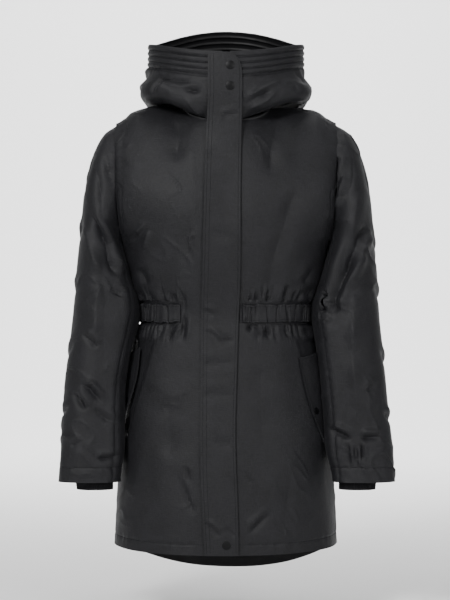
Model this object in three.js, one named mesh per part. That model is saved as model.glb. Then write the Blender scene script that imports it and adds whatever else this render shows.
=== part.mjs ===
// A women's padded parka with a funnel hood, filled out as it is worn but with nobody in it.
// Millimetres. +Z is up, the front faces -Y, and the wearer's left is +X. The origin lies on the
// shoulder line, midway between the shoulders, where the wearer carries the garment.
import * as THREE from 'three';

// Cloth
const WALL = 3;            // shell, light padding and lining together
const BRIM_WALL = 4;       // the quilted band holds more padding
const KNIT = 2.5;          // rib of the storm cuffs
const SEAM = 0.3;          // air between two pieces at a seam
const ARM_GAP = 0.9;       // the same at the armhole, where the two walls meet at an angle
const LAY = 0.4;           // air between a panel and a piece that lies on it

// Torso
const ARMPIT_Z = -232;
const SHOULDER = { x: 188, z: -19 };
const NECK = { half: 76, frontZ: -22, backZ: 8, share: 0.42 };
const ARMHOLE = { front: 62, back: 70 };
const SIDE_HEM_Z = -737;
const HEM_DIP = { front: 9, back: 64 };
const SQUARE = 0.87;       // under 1 makes a section squarer than an ellipse
const ZIP_HALF = 6;        // half the width of the tape that shows between the fronts

// Torso sections: height, half width, depth before and behind the side seams
const TORSO = [
  { z: -170, half: 184.5, front: 115, back: 111 },
  { z: -232, half: 175, front: 116, back: 108 },
  { z: -300, half: 161, front: 107, back: 98 },
  { z: -345, half: 146, front: 100, back: 93 },
  { z: -400, half: 158, front: 106, back: 104 },
  { z: -478, half: 170, front: 115, back: 120 },
  { z: -550, half: 178, front: 123, back: 131 },
  { z: -640, half: 185, front: 132, back: 139 },
  { z: -725, half: 190, front: 139, back: 144 },
  { z: -810, half: 193, front: 143, back: 148 },
];
// Chest: height, depth at the centre front and at the centre back
const CHEST = [
  { z: -300, front: 107, back: 98 },
  { z: -232, front: 116, back: 108 },
  { z: -170, front: 115, back: 111 },
  { z: -110, front: 108, back: 108 },
  { z: -60, front: 98, back: 98 },
  { z: -20, front: 86, back: 85 },
  { z: 8, front: 80, back: 76 },
];
// Armhole seam seen from the front: height and distance from the middle
const ARMHOLE_LINE = [
  { z: -232, x: 175 },
  { z: -205, x: 180 },
  { z: -170, x: 184.5 },
  { z: -120, x: 187.5 },
  { z: -60, x: 189 },
  { z: -19, x: 188 },
];
// Front closure: height, how far it hangs to the side, stitched edge and free edge of its flap
const CLOSURE = [
  { z: -760, drift: -7, stitched: -34.5, free: 20.6 },
  { z: -674, drift: -10, stitched: -38.7, free: 19.8 },
  { z: -624, drift: -12, stitched: -41.5, free: 17.3 },
  { z: -549, drift: -13.5, stitched: -42.5, free: 15 },
  { z: -457, drift: -12.5, stitched: -42, free: 17.5 },
  { z: -357, drift: -10, stitched: -41, free: 20.5 },
  { z: -290, drift: -8, stitched: -39.3, free: 23.4 },
  { z: -206, drift: -6.5, stitched: -37.5, free: 24 },
  { z: -106, drift: -5.5, stitched: -35, free: 24.3 },
  { z: -39, drift: -3, stitched: -32.6, free: 25.5 },
  { z: 10, drift: -1, stitched: -30.5, free: 26.6 },
  { z: 60, drift: 0, stitched: -30, free: 26 },
  { z: 76, drift: 0, stitched: -30, free: 22.5 },
  { z: 84, drift: 0, stitched: -30, free: 17.5 },
  { z: 89, drift: 0, stitched: -29.5, free: 11 },
  { z: 92, drift: 0, stitched: -28, free: 5 },
];

// Sleeve rings: point on the outer line and on the inner line, distance of the inner line on
// each side of the body, middle of the ring and its depth before and behind that
const SLEEVE = [
  { outX: 188, outZ: -19, right: 175, left: 175, inZ: -232, mid: 0, front: 62, back: 70 },
  { outX: 211, outZ: -41, right: 176.5, left: 176.5, inZ: -238, mid: 0, front: 68, back: 74 },
  { outX: 228, outZ: -74, right: 176, left: 176, inZ: -246, mid: -1, front: 72, back: 76 },
  { outX: 240, outZ: -118, right: 174.5, left: 174.5, inZ: -258, mid: -3, front: 74, back: 76 },
  { outX: 247, outZ: -170, right: 171, left: 170.5, inZ: -276, mid: -7, front: 73, back: 75 },
  { outX: 251, outZ: -232, right: 164.5, left: 164, inZ: -302, mid: -13, front: 70, back: 71 },
  { outX: 256, outZ: -300, right: 156, left: 155, inZ: -338, mid: -22, front: 66, back: 67 },
  { outX: 262, outZ: -370, right: 163, left: 159.5, inZ: -385, mid: -34, front: 61, back: 62 },
  { outX: 268, outZ: -440, right: 178, left: 169, inZ: -446, mid: -46, front: 55, back: 56 },
  { outX: 274, outZ: -510, right: 181, left: 173, inZ: -513, mid: -57, front: 48, back: 49 },
  { outX: 279, outZ: -575, right: 179, left: 173, inZ: -575, mid: -68, front: 41, back: 42 },
  { outX: 282, outZ: -628, right: 179, left: 178, inZ: -628, mid: -77, front: 35, back: 35 },
];
const SLEEVE_RINGS = 16;
const ARM_STEPS = 14;      // rows of the armhole, and half the points of a sleeve ring
const FRONT_ARM_SEAM = 11; // steps from the shoulder, going by the front
const BACK_ARM_SEAM = 20;  // steps from the shoulder, going by the front and the armpit

// Storm cuff rings, from the seam inside the sleeve down: height, middle, half width, half depth,
// and how much wider the ring is on the left, where the sleeve is
const STORM_CUFF = [
  { z: -597, x: 229.6, y: -71.8, half: 46.8, deep: 34.7, widen: 1.8 },
  { z: -612, x: 226, y: -74, half: 38, deep: 29, widen: 0.8 },
  { z: -623, x: 221.5, y: -76, half: 32, deep: 25, widen: 0 },
  { z: -641, x: 220.5, y: -77, half: 31, deep: 24, widen: 0 },
];

// Hood from the neck seam to the brim: centre front, side and centre back, and how far the
// cloth swells between front and side
const HOOD = [
  { frontY: -86, frontZ: -22, sideX: 76, sideZ: 0, backY: 76, backZ: 8, swell: 0 },
  { frontY: -88, frontZ: -15, sideX: 88, sideZ: 3, backY: 90, backZ: 2, swell: 3 },
  { frontY: -90, frontZ: -6, sideX: 108, sideZ: 1, backY: 106, backZ: -38, swell: 8 },
  { frontY: -92, frontZ: 3, sideX: 129, sideZ: -1, backY: 123, backZ: -98, swell: 12 },
  { frontY: -94, frontZ: 12, sideX: 143, sideZ: 4, backY: 146, backZ: -136, swell: 13 },
  { frontY: -95, frontZ: 21, sideX: 149, sideZ: 15, backY: 172, backZ: -116, swell: 11 },
  { frontY: -96, frontZ: 30, sideX: 147, sideZ: 32, backY: 186, backZ: -55, swell: 8 },
  { frontY: -96.5, frontZ: 38, sideX: 142, sideZ: 49, backY: 178, backZ: 10, swell: 5 },
  { frontY: -97, frontZ: 46, sideX: 137, sideZ: 63, backY: 150, backZ: 67, swell: 2 },
  { frontY: -97, frontZ: 52, sideX: 134, sideZ: 75, backY: 118, backZ: 110, swell: 0 },
];
const HOOD_ROWS = 12;
const HOOD_LIFT = 0.8;     // keeps the neck seam open over the whole thickness of the wall
const BRIM = [
  { frontY: -97, frontZ: 52, sideX: 134, sideZ: 75, backY: 118, backZ: 110 },
  { frontY: -95, frontZ: 93, sideX: 134, sideZ: 114, backY: 100, backZ: 151 },
];
const CHANNELS = { count: 4, raise: 2, bareTo: 36, fullFrom: 52 };
const BRIM_LIFT = 1.2;

// Waist casing: height range and the gathers that its elastic draws up
const CASING = { top: -330, bottom: -360, wall: 2.5, raise: 2.2, rightFrontFrom: -76 };
const GATHERS = { front: 11, back: 22, uneven: 0.22 };

// Pocket flaps: height and distance from the middle of points on the free edge
const FLAP_WIDTH = 42;
const POCKETS = {
  right: { drop: 14, rows: [
    { z: -404, x: 141 }, { z: -444, x: 144.5 }, { z: -470, x: 150 }, { z: -492, x: 155 },
    { z: -516, x: 164 }, { z: -548, x: 174 }] },
  left: { drop: -8, rows: [
    { z: -421, x: 122 }, { z: -456, x: 127 }, { z: -499, x: 137.6 }, { z: -520, x: 144 },
    { z: -547, x: 155 }, { z: -564, x: 161.7 }] },
};

// Press snap caps
const SNAP = { radius: 7.5, height: 2.4, pocketRadius: 6 };

// Largest folds, seen from the front or the back: the cloth they are in, two ends, half width,
// depth (a ridge is negative), and the face they lie on
const FOLDS = [
  { on: 'sleeve', x1: -215, z1: -64, x2: -194, z2: -143, width: 13, depth: 3, face: 'front' },
  { on: 'sleeve', x1: -240, z1: -178, x2: -207, z2: -228, width: 12, depth: 4, face: 'front' },
  { on: 'sleeve', x1: -207, z1: -228, x2: -190, z2: -290, width: 13, depth: 4, face: 'front' },
  { on: 'sleeve', x1: -222, z1: -290, x2: -214, z2: -392, width: 15, depth: -3, face: 'front' },
  { on: 'sleeve', x1: -249, z1: -380, x2: -216, z2: -408, width: 12, depth: 3, face: 'front' },
  { on: 'sleeve', x1: -254, z1: -466, x2: -210, z2: -502, width: 13, depth: 3.5, face: 'front' },
  { on: 'sleeve', x1: 201, z1: -103, x2: 174, z2: -168, width: 12, depth: 3, face: 'front' },
  { on: 'sleeve', x1: 244, z1: -189, x2: 212, z2: -270, width: 15, depth: 6, face: 'front' },
  { on: 'sleeve', x1: 212, z1: -270, x2: 184, z2: -338, width: 14, depth: 6, face: 'front' },
  { on: 'sleeve', x1: 216, z1: -306, x2: 226, z2: -500, width: 17, depth: -3, face: 'front' },
  { on: 'sleeve', x1: 182, z1: -546, x2: 218, z2: -566, width: 13, depth: 3, face: 'front' },
  { on: 'body', x1: -88, z1: -30, x2: -82, z2: -110, width: 18, depth: 3, face: 'front' },
  { on: 'body', x1: 92, z1: -20, x2: 78, z2: -122, width: 18, depth: 3, face: 'front' },
  { on: 'body', x1: 150, z1: -60, x2: 105, z2: -200, width: 26, depth: 3, face: 'front' },
  { on: 'sleeve', x1: -238, z1: -170, x2: -205, z2: -235, width: 13, depth: 4, face: 'back' },
  { on: 'sleeve', x1: -215, z1: -250, x2: -198, z2: -330, width: 14, depth: 4, face: 'back' },
  { on: 'sleeve', x1: 240, z1: -180, x2: 208, z2: -240, width: 13, depth: 4, face: 'back' },
  { on: 'sleeve', x1: 216, z1: -260, x2: 200, z2: -345, width: 14, depth: 4, face: 'back' },
  { on: 'sleeve', x1: -252, z1: -420, x2: -212, z2: -452, width: 13, depth: 3, face: 'back' },
  { on: 'sleeve', x1: 256, z1: -430, x2: 214, z2: -455, width: 13, depth: 3, face: 'back' },
  { on: 'body', x1: -150, z1: -120, x2: -110, z2: -230, width: 22, depth: 3, face: 'back' },
  { on: 'body', x1: 148, z1: -125, x2: 112, z2: -235, width: 22, depth: 3, face: 'back' },
];

const RAD = Math.PI / 180;
const mix = (a, b, k) => a + (b - a) * k;
const clamp = (x, low, high) => Math.min(high, Math.max(low, x));
const ease = (low, high, x) => {
  const k = clamp((x - low) / (high - low), 0, 1);
  return k * k * (3 - 2 * k);
};
const power = (x, e) => Math.sign(x) * Math.abs(x) ** e;
const steps = (n) => Array.from({ length: n + 1 }, (_, i) => i / n);

// Smooth curve through one column of a table, read at a place in its key column
function column(table, key, name, at) {
  const up = table[table.length - 1][key] > table[0][key];
  const rows = up ? table : [...table].reverse();
  const x = clamp(at, rows[0][key], rows[rows.length - 1][key]);
  let i = rows.findIndex((row) => row[key] >= x) - 1;
  i = clamp(i, 0, rows.length - 2);
  return hermite(rows, i, (row) => row[key], name, x);
}

// The same curve where the rows themselves are the steps, from 0 to the last row
function along(table, name, at) {
  const x = clamp(at, 0, table.length - 1);
  const i = Math.min(Math.floor(x), table.length - 2);
  const rows = table.map((row, n) => ({ n, [name]: row[name] }));
  return hermite(rows, i, (row) => row.n, name, x);
}

function hermite(rows, i, place, name, x) {
  const slope = (n) => {
    const a = rows[Math.max(n - 1, 0)];
    const b = rows[Math.min(n + 1, rows.length - 1)];
    return (b[name] - a[name]) / (place(b) - place(a));
  };
  const step = place(rows[i + 1]) - place(rows[i]);
  const k = (x - place(rows[i])) / step;
  const k2 = k * k;
  const k3 = k2 * k;
  return (2 * k3 - 3 * k2 + 1) * rows[i][name] + (k3 - 2 * k2 + k) * step * slope(i)
    + (3 * k2 - 2 * k3) * rows[i + 1][name] + (k3 - k2) * step * slope(i + 1);
}

// Depth of the folds at a point whose cloth faces along a normal
function foldDepth(cloth, point, normal) {
  let depth = 0;
  for (const fold of FOLDS.filter(({ on }) => on === cloth)) {
    const facing = clamp((fold.face === 'front' ? -normal.y : normal.y) * 1.6, 0, 1);
    const dx = fold.x2 - fold.x1;
    const dz = fold.z2 - fold.z1;
    const k = ((point.x - fold.x1) * dx + (point.z - fold.z1) * dz) / (dx * dx + dz * dz);
    const near = clamp(k, 0, 1);
    const off = Math.hypot(point.x - fold.x1 - near * dx, point.z - fold.z1 - near * dz);
    depth += facing * fold.depth * Math.exp(-((off / fold.width) ** 2));
  }
  return depth;
}

// Torso surface. Round the body t runs from -1 at the right side seam through 0 at the centre
// front to 1 at the left side seam, and on through 2 at the centre back to 3 at the right side
// seam again. Up the body v runs from -1 at the hem to 0 at the armpit and 1 at the shoulder
// and neck seams.
const isBehind = (t) => t > 1 + 1e-9;
const acrossAt = (t) => (isBehind(t) ? Math.abs(2 - t) : Math.abs(t));

function sectionAngle(t, across, z) {
  const turn = column(CLOSURE, 'z', 'drift', z) / column(TORSO, 'z', 'front', z);
  const held = ease(-420, ARMPIT_Z, z);
  return 90 * RAD * t + turn * (1 - across * across * held);
}

function skirt(t, z) {
  const angle = sectionAngle(t, acrossAt(t), z);
  const depth = column(TORSO, 'z', Math.cos(angle) > 0 ? 'front' : 'back', z);
  const half = column(TORSO, 'z', 'half', z);
  const x = half * power(Math.sin(angle), SQUARE);
  return new THREE.Vector3(x, -depth * power(Math.cos(angle), SQUARE), z);
}

function hemZ(t) {
  const facing = Math.cos(90 * RAD * t);
  if (facing > 0) return SIDE_HEM_Z - HEM_DIP.front * facing;
  return SIDE_HEM_Z - HEM_DIP.back * Math.abs(facing) ** 1.6;
}

// The level of a row at the side seam gives its height: the lowest rows follow the curved hem
const levelZ = (t, level) => level + (hemZ(t) - SIDE_HEM_Z) * ease(-470, SIDE_HEM_Z, level);

function neckAndShoulder(across, behind) {
  if (across < NECK.share) {
    const angle = (90 * RAD * across) / NECK.share;
    const dip = behind ? NECK.backZ : NECK.frontZ;
    return { x: NECK.half * Math.sin(angle), z: dip * Math.cos(angle) ** 2, cut: Math.cos(angle) };
  }
  const k = (across - NECK.share) / (1 - NECK.share);
  return { x: mix(NECK.half, SHOULDER.x, k), z: SHOULDER.z * k ** 1.1, cut: 0 };
}

function armholeEdge(v, behind, across = 1) {
  const rise = (1 - Math.cos(Math.PI * v)) / 2;
  const z = mix(ARMPIT_Z, SHOULDER.z, rise);
  const bend = v < 0.5 ? mix(4, 0.85, ease(0.3, 0.9, across)) : 0.85;
  const deep = (behind ? ARMHOLE.back : ARMHOLE.front) * Math.sin(Math.PI * clamp(v, 0, 1)) ** bend;
  return { x: column(ARMHOLE_LINE, 'z', 'x', z), deep, z, rise };
}

function chest(t, v) {
  const behind = isBehind(t);
  const across = acrossAt(t);
  const hand = Math.sign(behind ? 2 - t : t);
  const top = neckAndShoulder(across, behind);
  const edge = armholeEdge(v, behind, across);
  const z = mix(ARMPIT_Z, top.z, edge.rise);
  const angle = sectionAngle(t, across, z);
  const blend = ease(0.35, 1, v);
  const sideways = mix(power(Math.sin(angle), SQUARE), (hand * top.x) / SHOULDER.x, blend);
  const forward = mix(Math.abs(Math.cos(angle)) ** SQUARE, top.cut, blend);
  const centre = column(CHEST, 'z', behind ? 'back' : 'front', z);
  const y = edge.deep + (centre - edge.deep) * forward;
  return new THREE.Vector3(edge.x * sideways, behind ? y : -y, z);
}

function torso(t, v) {
  return v > 0 ? chest(t, v) : skirt(t, levelZ(t, mix(ARMPIT_Z, SIDE_HEM_Z, -v)));
}

// Sleeve surface. Turns run from 0 on the outer line by the front to 1 all round, and r from
// the armhole seam to the hem in table rows.
function sleeve(side, turn, r) {
  const inner = side < 0 ? 'right' : 'left';
  const read = (name) => along(SLEEVE, name, r);
  const angle = 2 * Math.PI * turn;
  const toward = (Math.cos(angle) + 1) / 2;
  const behind = Math.sin(angle) < 0;
  const z = mix(read('inZ'), read('outZ'), toward);
  const straight = mix(read(inner), read('outX'), toward);
  const seamZ = mix(ARMPIT_Z, SHOULDER.z, toward);
  const seam = column(ARMHOLE_LINE, 'z', 'x', seamZ) + ARM_GAP;
  const bow = seam - mix(SLEEVE[0][inner], SLEEVE[0].outX, toward);
  const x = straight + bow * (1 - ease(0, 4, r));
  const deep = read(behind ? 'back' : 'front') * Math.abs(Math.sin(angle)) ** 0.85;
  return new THREE.Vector3(side * x, read('mid') + (behind ? deep : -deep), z);
}

// Hood surface. The angle runs from 0 at the centre front to 180 at the centre back.
function hoodRing(table, angle, s, lift) {
  const read = (name) => along(table, name, s);
  const across = Math.sin(angle * RAD);
  const facing = Math.cos(angle * RAD);
  const end = facing > 0 ? 'front' : 'back';
  const swell = 'swell' in table[0] && facing > 0 ? read('swell') : 0;
  const push = swell * Math.sin(2 * angle * RAD) ** 2;
  const reach = 1 + push / 120;
  const y = (facing > 0 ? read('frontY') : read('backY')) * Math.abs(facing);
  const z = mix(read('sideZ'), read(`${end}Z`), facing * facing);
  return new THREE.Vector3(read('sideX') * across * reach, y * reach, z + lift - push * 0.35);
}
const hood = (angle, s) => hoodRing(HOOD, angle, s, HOOD_LIFT);
const brim = (angle, s) => hoodRing(BRIM, angle, s, BRIM_LIFT);

// A point of a surface with its outward normal, from small steps along both directions
function onSurface(surface, u, v, stepU, stepV, limits, reach = [-Infinity, Infinity]) {
  const clampV = (x) => clamp(x, limits[0], limits[1]);
  const clampU = (x) => clamp(x, reach[0], reach[1]);
  const alongU = surface(clampU(u + stepU), v).sub(surface(clampU(u - stepU), v));
  const alongV = surface(u, clampV(v + stepV)).sub(surface(u, clampV(v - stepV)));
  const normal = alongU.cross(alongV).normalize();
  return { point: surface(u, v), normal };
}

// Above the armpit the front and the back end at the armhole, so steps stay on their own panel
function torsoAt(t, v, panel = 'front') {
  const own = panel === 'front' ? [-1, 1] : [1 + 1e-6, 3];
  const reach = v > 0 ? own : undefined;
  return onSurface(torso, clamp(t, own[0], own[1]), v, 0.01, 0.01, [-1, 1], reach);
}
const skirtAt = (t, z) => onSurface(skirt, t, z, 0.01, 1, [-800, ARMPIT_Z]);
const hoodAt = (angle, s) => onSurface(hood, angle, s, 1, 0.08, [0, HOOD.length - 1]);
const brimAt = (angle, s) => onSurface(brim, angle, s, 1, 0.08, [0, 1]);
function sleeveAt(side, turn, r) {
  const surface = (u, w) => sleeve(side, side < 0 ? u : -u, w);
  const found = onSurface(surface, side < 0 ? turn : -turn, r, 0.005, 0.08, [0, SLEEVE.length - 1]);
  found.normal.negate();
  return found;
}

// Place round the body where the torso has a given x, on the front
function torsoTurn(x, v) {
  return solve((t) => torso(t, v).x, x, -0.999, 0.999);
}
const skirtTurn = (x, z) => solve((t) => skirt(t, z).x, x, -1.1, 1.1);
function hoodTurn(surface, x, s) {
  return solve((angle) => surface(angle, s).x, x, -60, 60);
}
function solve(value, wanted, low, high) {
  for (let i = 0; i < 40; i += 1) {
    const middle = (low + high) / 2;
    if (value(middle) < wanted) low = middle;
    else high = middle;
  }
  return (low + high) / 2;
}

// Closed wall between an outer grid of points and the same grid moved in by its thickness.
// The edges are drawn back by half a seam gap, on the sides that are named.
function wall(grid, thickness, options = {}) {
  const { ring = false, drawBack = SEAM / 2, trim = 'all' } = options;
  const rows = grid.length;
  const cols = grid[0].length;
  const layers = [
    grid.map((row) => row.map(({ point, normal, out = 0 }) => (
      point.clone().addScaledVector(normal, out)))),
    grid.map((row) => row.map(({ point, normal, base = 0 }) => (
      point.clone().addScaledVector(normal, base - thickness)))),
  ];
  for (const layer of layers) {
    const pull = (edge, next) => {
      const way = next.clone().sub(edge);
      edge.addScaledVector(way, drawBack / Math.max(way.length(), drawBack * 3));
    };
    if (!ring && trim !== 'ends') {
      for (const row of layer) {
        pull(row[0], row[1]);
        pull(row[cols - 1], row[cols - 2]);
      }
    }
    if (trim !== 'sides') {
      layer[0].forEach((point, j) => pull(point, layer[1][j]));
      layer[rows - 1].forEach((point, j) => pull(point, layer[rows - 2][j]));
    }
  }
  const positions = layers.flat(2).flatMap((p) => [p.x, p.y, p.z]);
  const at = (layer, i, j) => (layer * rows + i) * cols + (ring ? (j + cols) % cols : j);
  const faces = [];
  const quad = (a, b, c, d) => faces.push(a, b, c, a, c, d);
  const last = ring ? cols : cols - 1;
  for (let i = 0; i < rows - 1; i += 1) {
    for (let j = 0; j < last; j += 1) {
      quad(at(0, i, j), at(0, i, j + 1), at(0, i + 1, j + 1), at(0, i + 1, j));
      quad(at(1, i, j), at(1, i + 1, j), at(1, i + 1, j + 1), at(1, i, j + 1));
    }
  }
  for (let j = 0; j < last; j += 1) {
    quad(at(1, 0, j), at(1, 0, j + 1), at(0, 0, j + 1), at(0, 0, j));
    quad(at(0, rows - 1, j), at(0, rows - 1, j + 1), at(1, rows - 1, j + 1), at(1, rows - 1, j));
  }
  for (let i = 0; i < rows - 1 && !ring; i += 1) {
    quad(at(0, i + 1, 0), at(1, i + 1, 0), at(1, i, 0), at(0, i, 0));
    quad(at(1, i, cols - 1), at(1, i + 1, cols - 1), at(0, i + 1, cols - 1), at(0, i, cols - 1));
  }
  const geometry = new THREE.BufferGeometry();
  geometry.setAttribute('position', new THREE.Float32BufferAttribute(positions, 3));
  geometry.setIndex(faces);
  geometry.computeVertexNormals();
  return geometry;
}

// Cloth laid in the largest folds: its points move along their normals
function folded(found) {
  const depth = foldDepth('body', found.point, found.normal);
  found.point.addScaledVector(found.normal, -depth);
  return found;
}

// Materials
const shell = new THREE.MeshStandardMaterial({ color: 0x232325, roughness: 0.62, metalness: 0 });
const tape = new THREE.MeshStandardMaterial({ color: 0x161617, roughness: 0.7, metalness: 0 });
const rib = new THREE.MeshStandardMaterial({ color: 0x141415, roughness: 0.9, metalness: 0 });
const metal = new THREE.MeshStandardMaterial({ color: 0x19191b, roughness: 0.35, metalness: 0.8 });

const parka = new THREE.Group();
function add(name, geometry, material) {
  const mesh = new THREE.Mesh(geometry, material.clone());
  mesh.name = name;
  parka.add(mesh);
  return mesh;
}

// Rows of the torso grid, from the hem up: even down the skirt, then the rows of the armhole
const SKIRT_LEVELS = [
  SIDE_HEM_Z, -700, -650, -600, -550, -500, -450, -410, -382, CASING.bottom,
  (CASING.bottom + CASING.top) / 2, CASING.top, -305, -270,
];
const torsoRows = [
  ...SKIRT_LEVELS.map((level) => (level - ARMPIT_Z) / (ARMPIT_Z - SIDE_HEM_Z)),
  ...steps(ARM_STEPS),
];
const FRONT_COLUMNS = 10;
const BACK_COLUMNS = 18;

for (const [name, side] of [['front_right', -1], ['front_left', 1]]) {
  const grid = torsoRows.map((v) => {
    const drift = column(CLOSURE, 'z', 'drift', torso(0, v).z);
    const start = torsoTurn(side * (ZIP_HALF + SEAM) + drift, v);
    const places = steps(FRONT_COLUMNS).map((k) => mix(start, side, k));
    if (side < 0) places.reverse();
    return places.map((t) => folded(torsoAt(t, v)));
  });
  add(name, wall(grid, WALL), shell);
}

const backGrid = torsoRows.map((v) => (
  steps(BACK_COLUMNS).map((k) => folded(torsoAt(mix(1, 3, k), v, 'back')))));
add('back', wall(backGrid, WALL), shell);

for (const [side, name] of [[-1, 'right'], [1, 'left']]) {
  const pieces = {
    upper: [BACK_ARM_SEAM - 2 * ARM_STEPS, FRONT_ARM_SEAM],
    under: [FRONT_ARM_SEAM, BACK_ARM_SEAM],
  };
  for (const [piece, [first, last]] of Object.entries(pieces)) {
    const grid = steps(SLEEVE_RINGS).map((k) => {
      const row = [];
      for (let step = first; step <= last; step += 1) {
        const found = sleeveAt(side, step / (2 * ARM_STEPS), k * (SLEEVE.length - 1));
        const fade = ease(0.02, 0.12, k);
        const depth = foldDepth('sleeve', found.point, found.normal) * fade;
        found.point.addScaledVector(found.normal, -depth);
        if (k === 0) found.normal.setX(0).normalize();
        row.push(found);
      }
      return side < 0 ? row.reverse() : row;
    });
    add(`sleeve_${piece}_${name}`, wall(grid, WALL), shell);
  }
  const cuff = STORM_CUFF.map((ring) => steps(20).slice(0, -1).map((k) => {
    const angle = 2 * Math.PI * k;
    const normal = new THREE.Vector3(Math.cos(angle), Math.sin(angle), 0);
    const widen = side > 0 ? ring.widen : 0;
    const x = side * (ring.x - widen) + (ring.half + widen) * Math.cos(angle);
    return { point: new THREE.Vector3(x, ring.y + ring.deep * Math.sin(angle), ring.z), normal };
  })).reverse();
  add(`storm_cuff_${name}`, wall(cuff, KNIT, { ring: true, trim: 'sides' }), rib);
}

for (const [name, side] of [['hood_right', -1], ['hood_left', 1]]) {
  const grid = steps(HOOD_ROWS).map((k) => {
    const s = k * (HOOD.length - 1);
    const drift = column(CLOSURE, 'z', 'drift', hood(0, s).z);
    const start = hoodTurn(hood, side * (ZIP_HALF + SEAM) + drift, s);
    const places = steps(18).map((j) => mix(start, side * 180, j));
    if (side < 0) places.reverse();
    return places.map((angle) => hoodAt(angle, s));
  });
  add(name, wall(grid, WALL), shell);
}

const BRIM_COLUMNS = 34;
const brimGrid = steps(CHANNELS.count * 2).map((s) => {
  const start = hoodTurn(brim, ZIP_HALF + SEAM, s);
  return steps(BRIM_COLUMNS).map((k) => {
    const found = brimAt(mix(start, 360 - start, k), s);
    const bare = found.point.y < 0 ? ease(CHANNELS.bareTo, CHANNELS.fullFrom, Math.abs(found.point.x)) : 1;
    found.out = CHANNELS.raise * bare * Math.abs(Math.sin(Math.PI * CHANNELS.count * s));
    return found;
  });
});
add('brim', wall(brimGrid, BRIM_WALL), shell);

// Zip tape in the gap between the fronts, from the hem to the brim
const tapeRow = (at, turnOf, shift) => [-1, 0, 1].map((k) => at(turnOf(k * ZIP_HALF + shift)));
const tapeRows = [
  ...torsoRows.slice(0, -2).map((v) => tapeRow(
    (t) => folded(torsoAt(t, v)), (x) => torsoTurn(x, v),
    column(CLOSURE, 'z', 'drift', torso(0, v).z))),
  ...steps(HOOD_ROWS).slice(0, -1).map((k) => tapeRow(
    (angle) => hoodAt(angle, k * (HOOD.length - 1)),
    (x) => hoodTurn(hood, x, k * (HOOD.length - 1)),
    column(CLOSURE, 'z', 'drift', hood(0, k * (HOOD.length - 1)).z))),
  ...[0.1, 0.9].map((s) => tapeRow((angle) => brimAt(angle, s), (x) => hoodTurn(brim, x, s), 0)),
];
add('zip_tape', wall(tapeRows, WALL - 1, { drawBack: 0.1 }), tape);

// Front flap over the zip. Its rows lie on the panels, and it spans the hollow at the neck seam.
const FLAP_COLUMNS = 5;
const flapLine = (z) => steps(FLAP_COLUMNS).map((k) => (
  mix(column(CLOSURE, 'z', 'stitched', z), column(CLOSURE, 'z', 'free', z), k)));
const raised = (found, gap, thickness) => ({
  point: found.point, normal: found.normal, out: gap + thickness, base: gap + thickness,
});
const neckSpan = { from: 0.72, to: 4.2 };
const onTorso = torsoRows.filter((v) => v < neckSpan.from).map((v) => (
  flapLine(torso(0, v).z).map((x) => raised(folded(torsoAt(torsoTurn(x, v), v)), LAY, WALL))));
const onHood = [4.4, 5.6, 6.8, 7.9, 9].map((s) => (
  flapLine(hood(0, s).z).map((x) => raised(hoodAt(hoodTurn(hood, x, s), s), LAY, WALL))));
const onBrim = [0.12, 0.3, 0.48, 0.64, 0.77, 0.87, 0.95].map((s) => (
  flapLine(brim(0, s).z).map((x) => raised(brimAt(hoodTurn(brim, x, s), s), LAY + 0.4, WALL))));
const span = [0.34, 0.68].map((k) => onTorso[onTorso.length - 1].map((low, j) => {
  const high = onHood[0][j];
  const sink = 3 * Math.sin(Math.PI * k);
  return {
    point: low.point.clone().lerp(high.point, k).add(new THREE.Vector3(0, sink, 0)),
    normal: low.normal.clone().lerp(high.normal, k).normalize(),
    out: mix(low.out, high.out, k), base: mix(low.base, high.base, k),
  };
}));
const flapGrid = [...onTorso, ...span, ...onHood, ...onBrim];
add('placket', wall(flapGrid, WALL, { drawBack: 0.1 }), shell);

// Elastic waist casings, drawn up in gathers
function casing(name, first, last, gathers) {
  const places = steps(gathers * 3);
  const grid = steps(2).map((k) => {
    const z = mix(CASING.bottom, CASING.top, k);
    return places.map((j) => {
      const t = mix(first(z), last(z), j);
      const found = skirtAt(t, z);
      const wander = GATHERS.uneven * Math.sin(7 * j * gathers + 3 * k);
      const wave = 0.5 - 0.5 * Math.cos(2 * Math.PI * (gathers * j + wander));
      const plump = 0.35 + 0.65 * Math.sin(Math.PI * clamp(k, 0.08, 0.92));
      const gap = LAY + CASING.wall;
      return { ...found, out: gap + CASING.raise * wave * plump, base: gap };
    });
  });
  add(name, wall(grid, CASING.wall), shell);
}
casing('casing_right', () => -1, (z) => skirtTurn(CASING.rightFrontFrom, z), GATHERS.front);
casing('casing_left', (z) => skirtTurn(column(CLOSURE, 'z', 'free', z) + 2, z), () => 1, GATHERS.front);
casing('casing_back', () => 1, () => 3, GATHERS.back);

// Slanted pocket flaps, sewn on behind the pocket mouth and free in front
const snaps = [];
for (const [name, side] of [['right', -1], ['left', 1]]) {
  const pocket = POCKETS[name];
  const grid = steps(8).map((k) => {
    const z = mix(pocket.rows[0].z, pocket.rows[pocket.rows.length - 1].z, k);
    const edge = skirtTurn(side * column(pocket.rows, 'z', 'x', z), z);
    const stretch = skirt(edge + 0.02, z).distanceTo(skirt(edge - 0.02, z)) / 0.04;
    const row = steps(4).map((j) => {
      const place = edge + (side * j * FLAP_WIDTH) / stretch;
      const found = skirtAt(place, z - pocket.drop * j);
      const lift = LAY + 0.8 * (1 - j);
      return raised(folded(found), lift, WALL);
    });
    if (k === 0.625) snaps.push([`snap_pocket_${name}`, edge + (side * 9) / stretch, z]);
    return side < 0 ? row.reverse() : row;
  }).reverse();
  add(`pocket_flap_${name}`, wall(grid, WALL, { drawBack: 0.1 }), shell);
}

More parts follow.
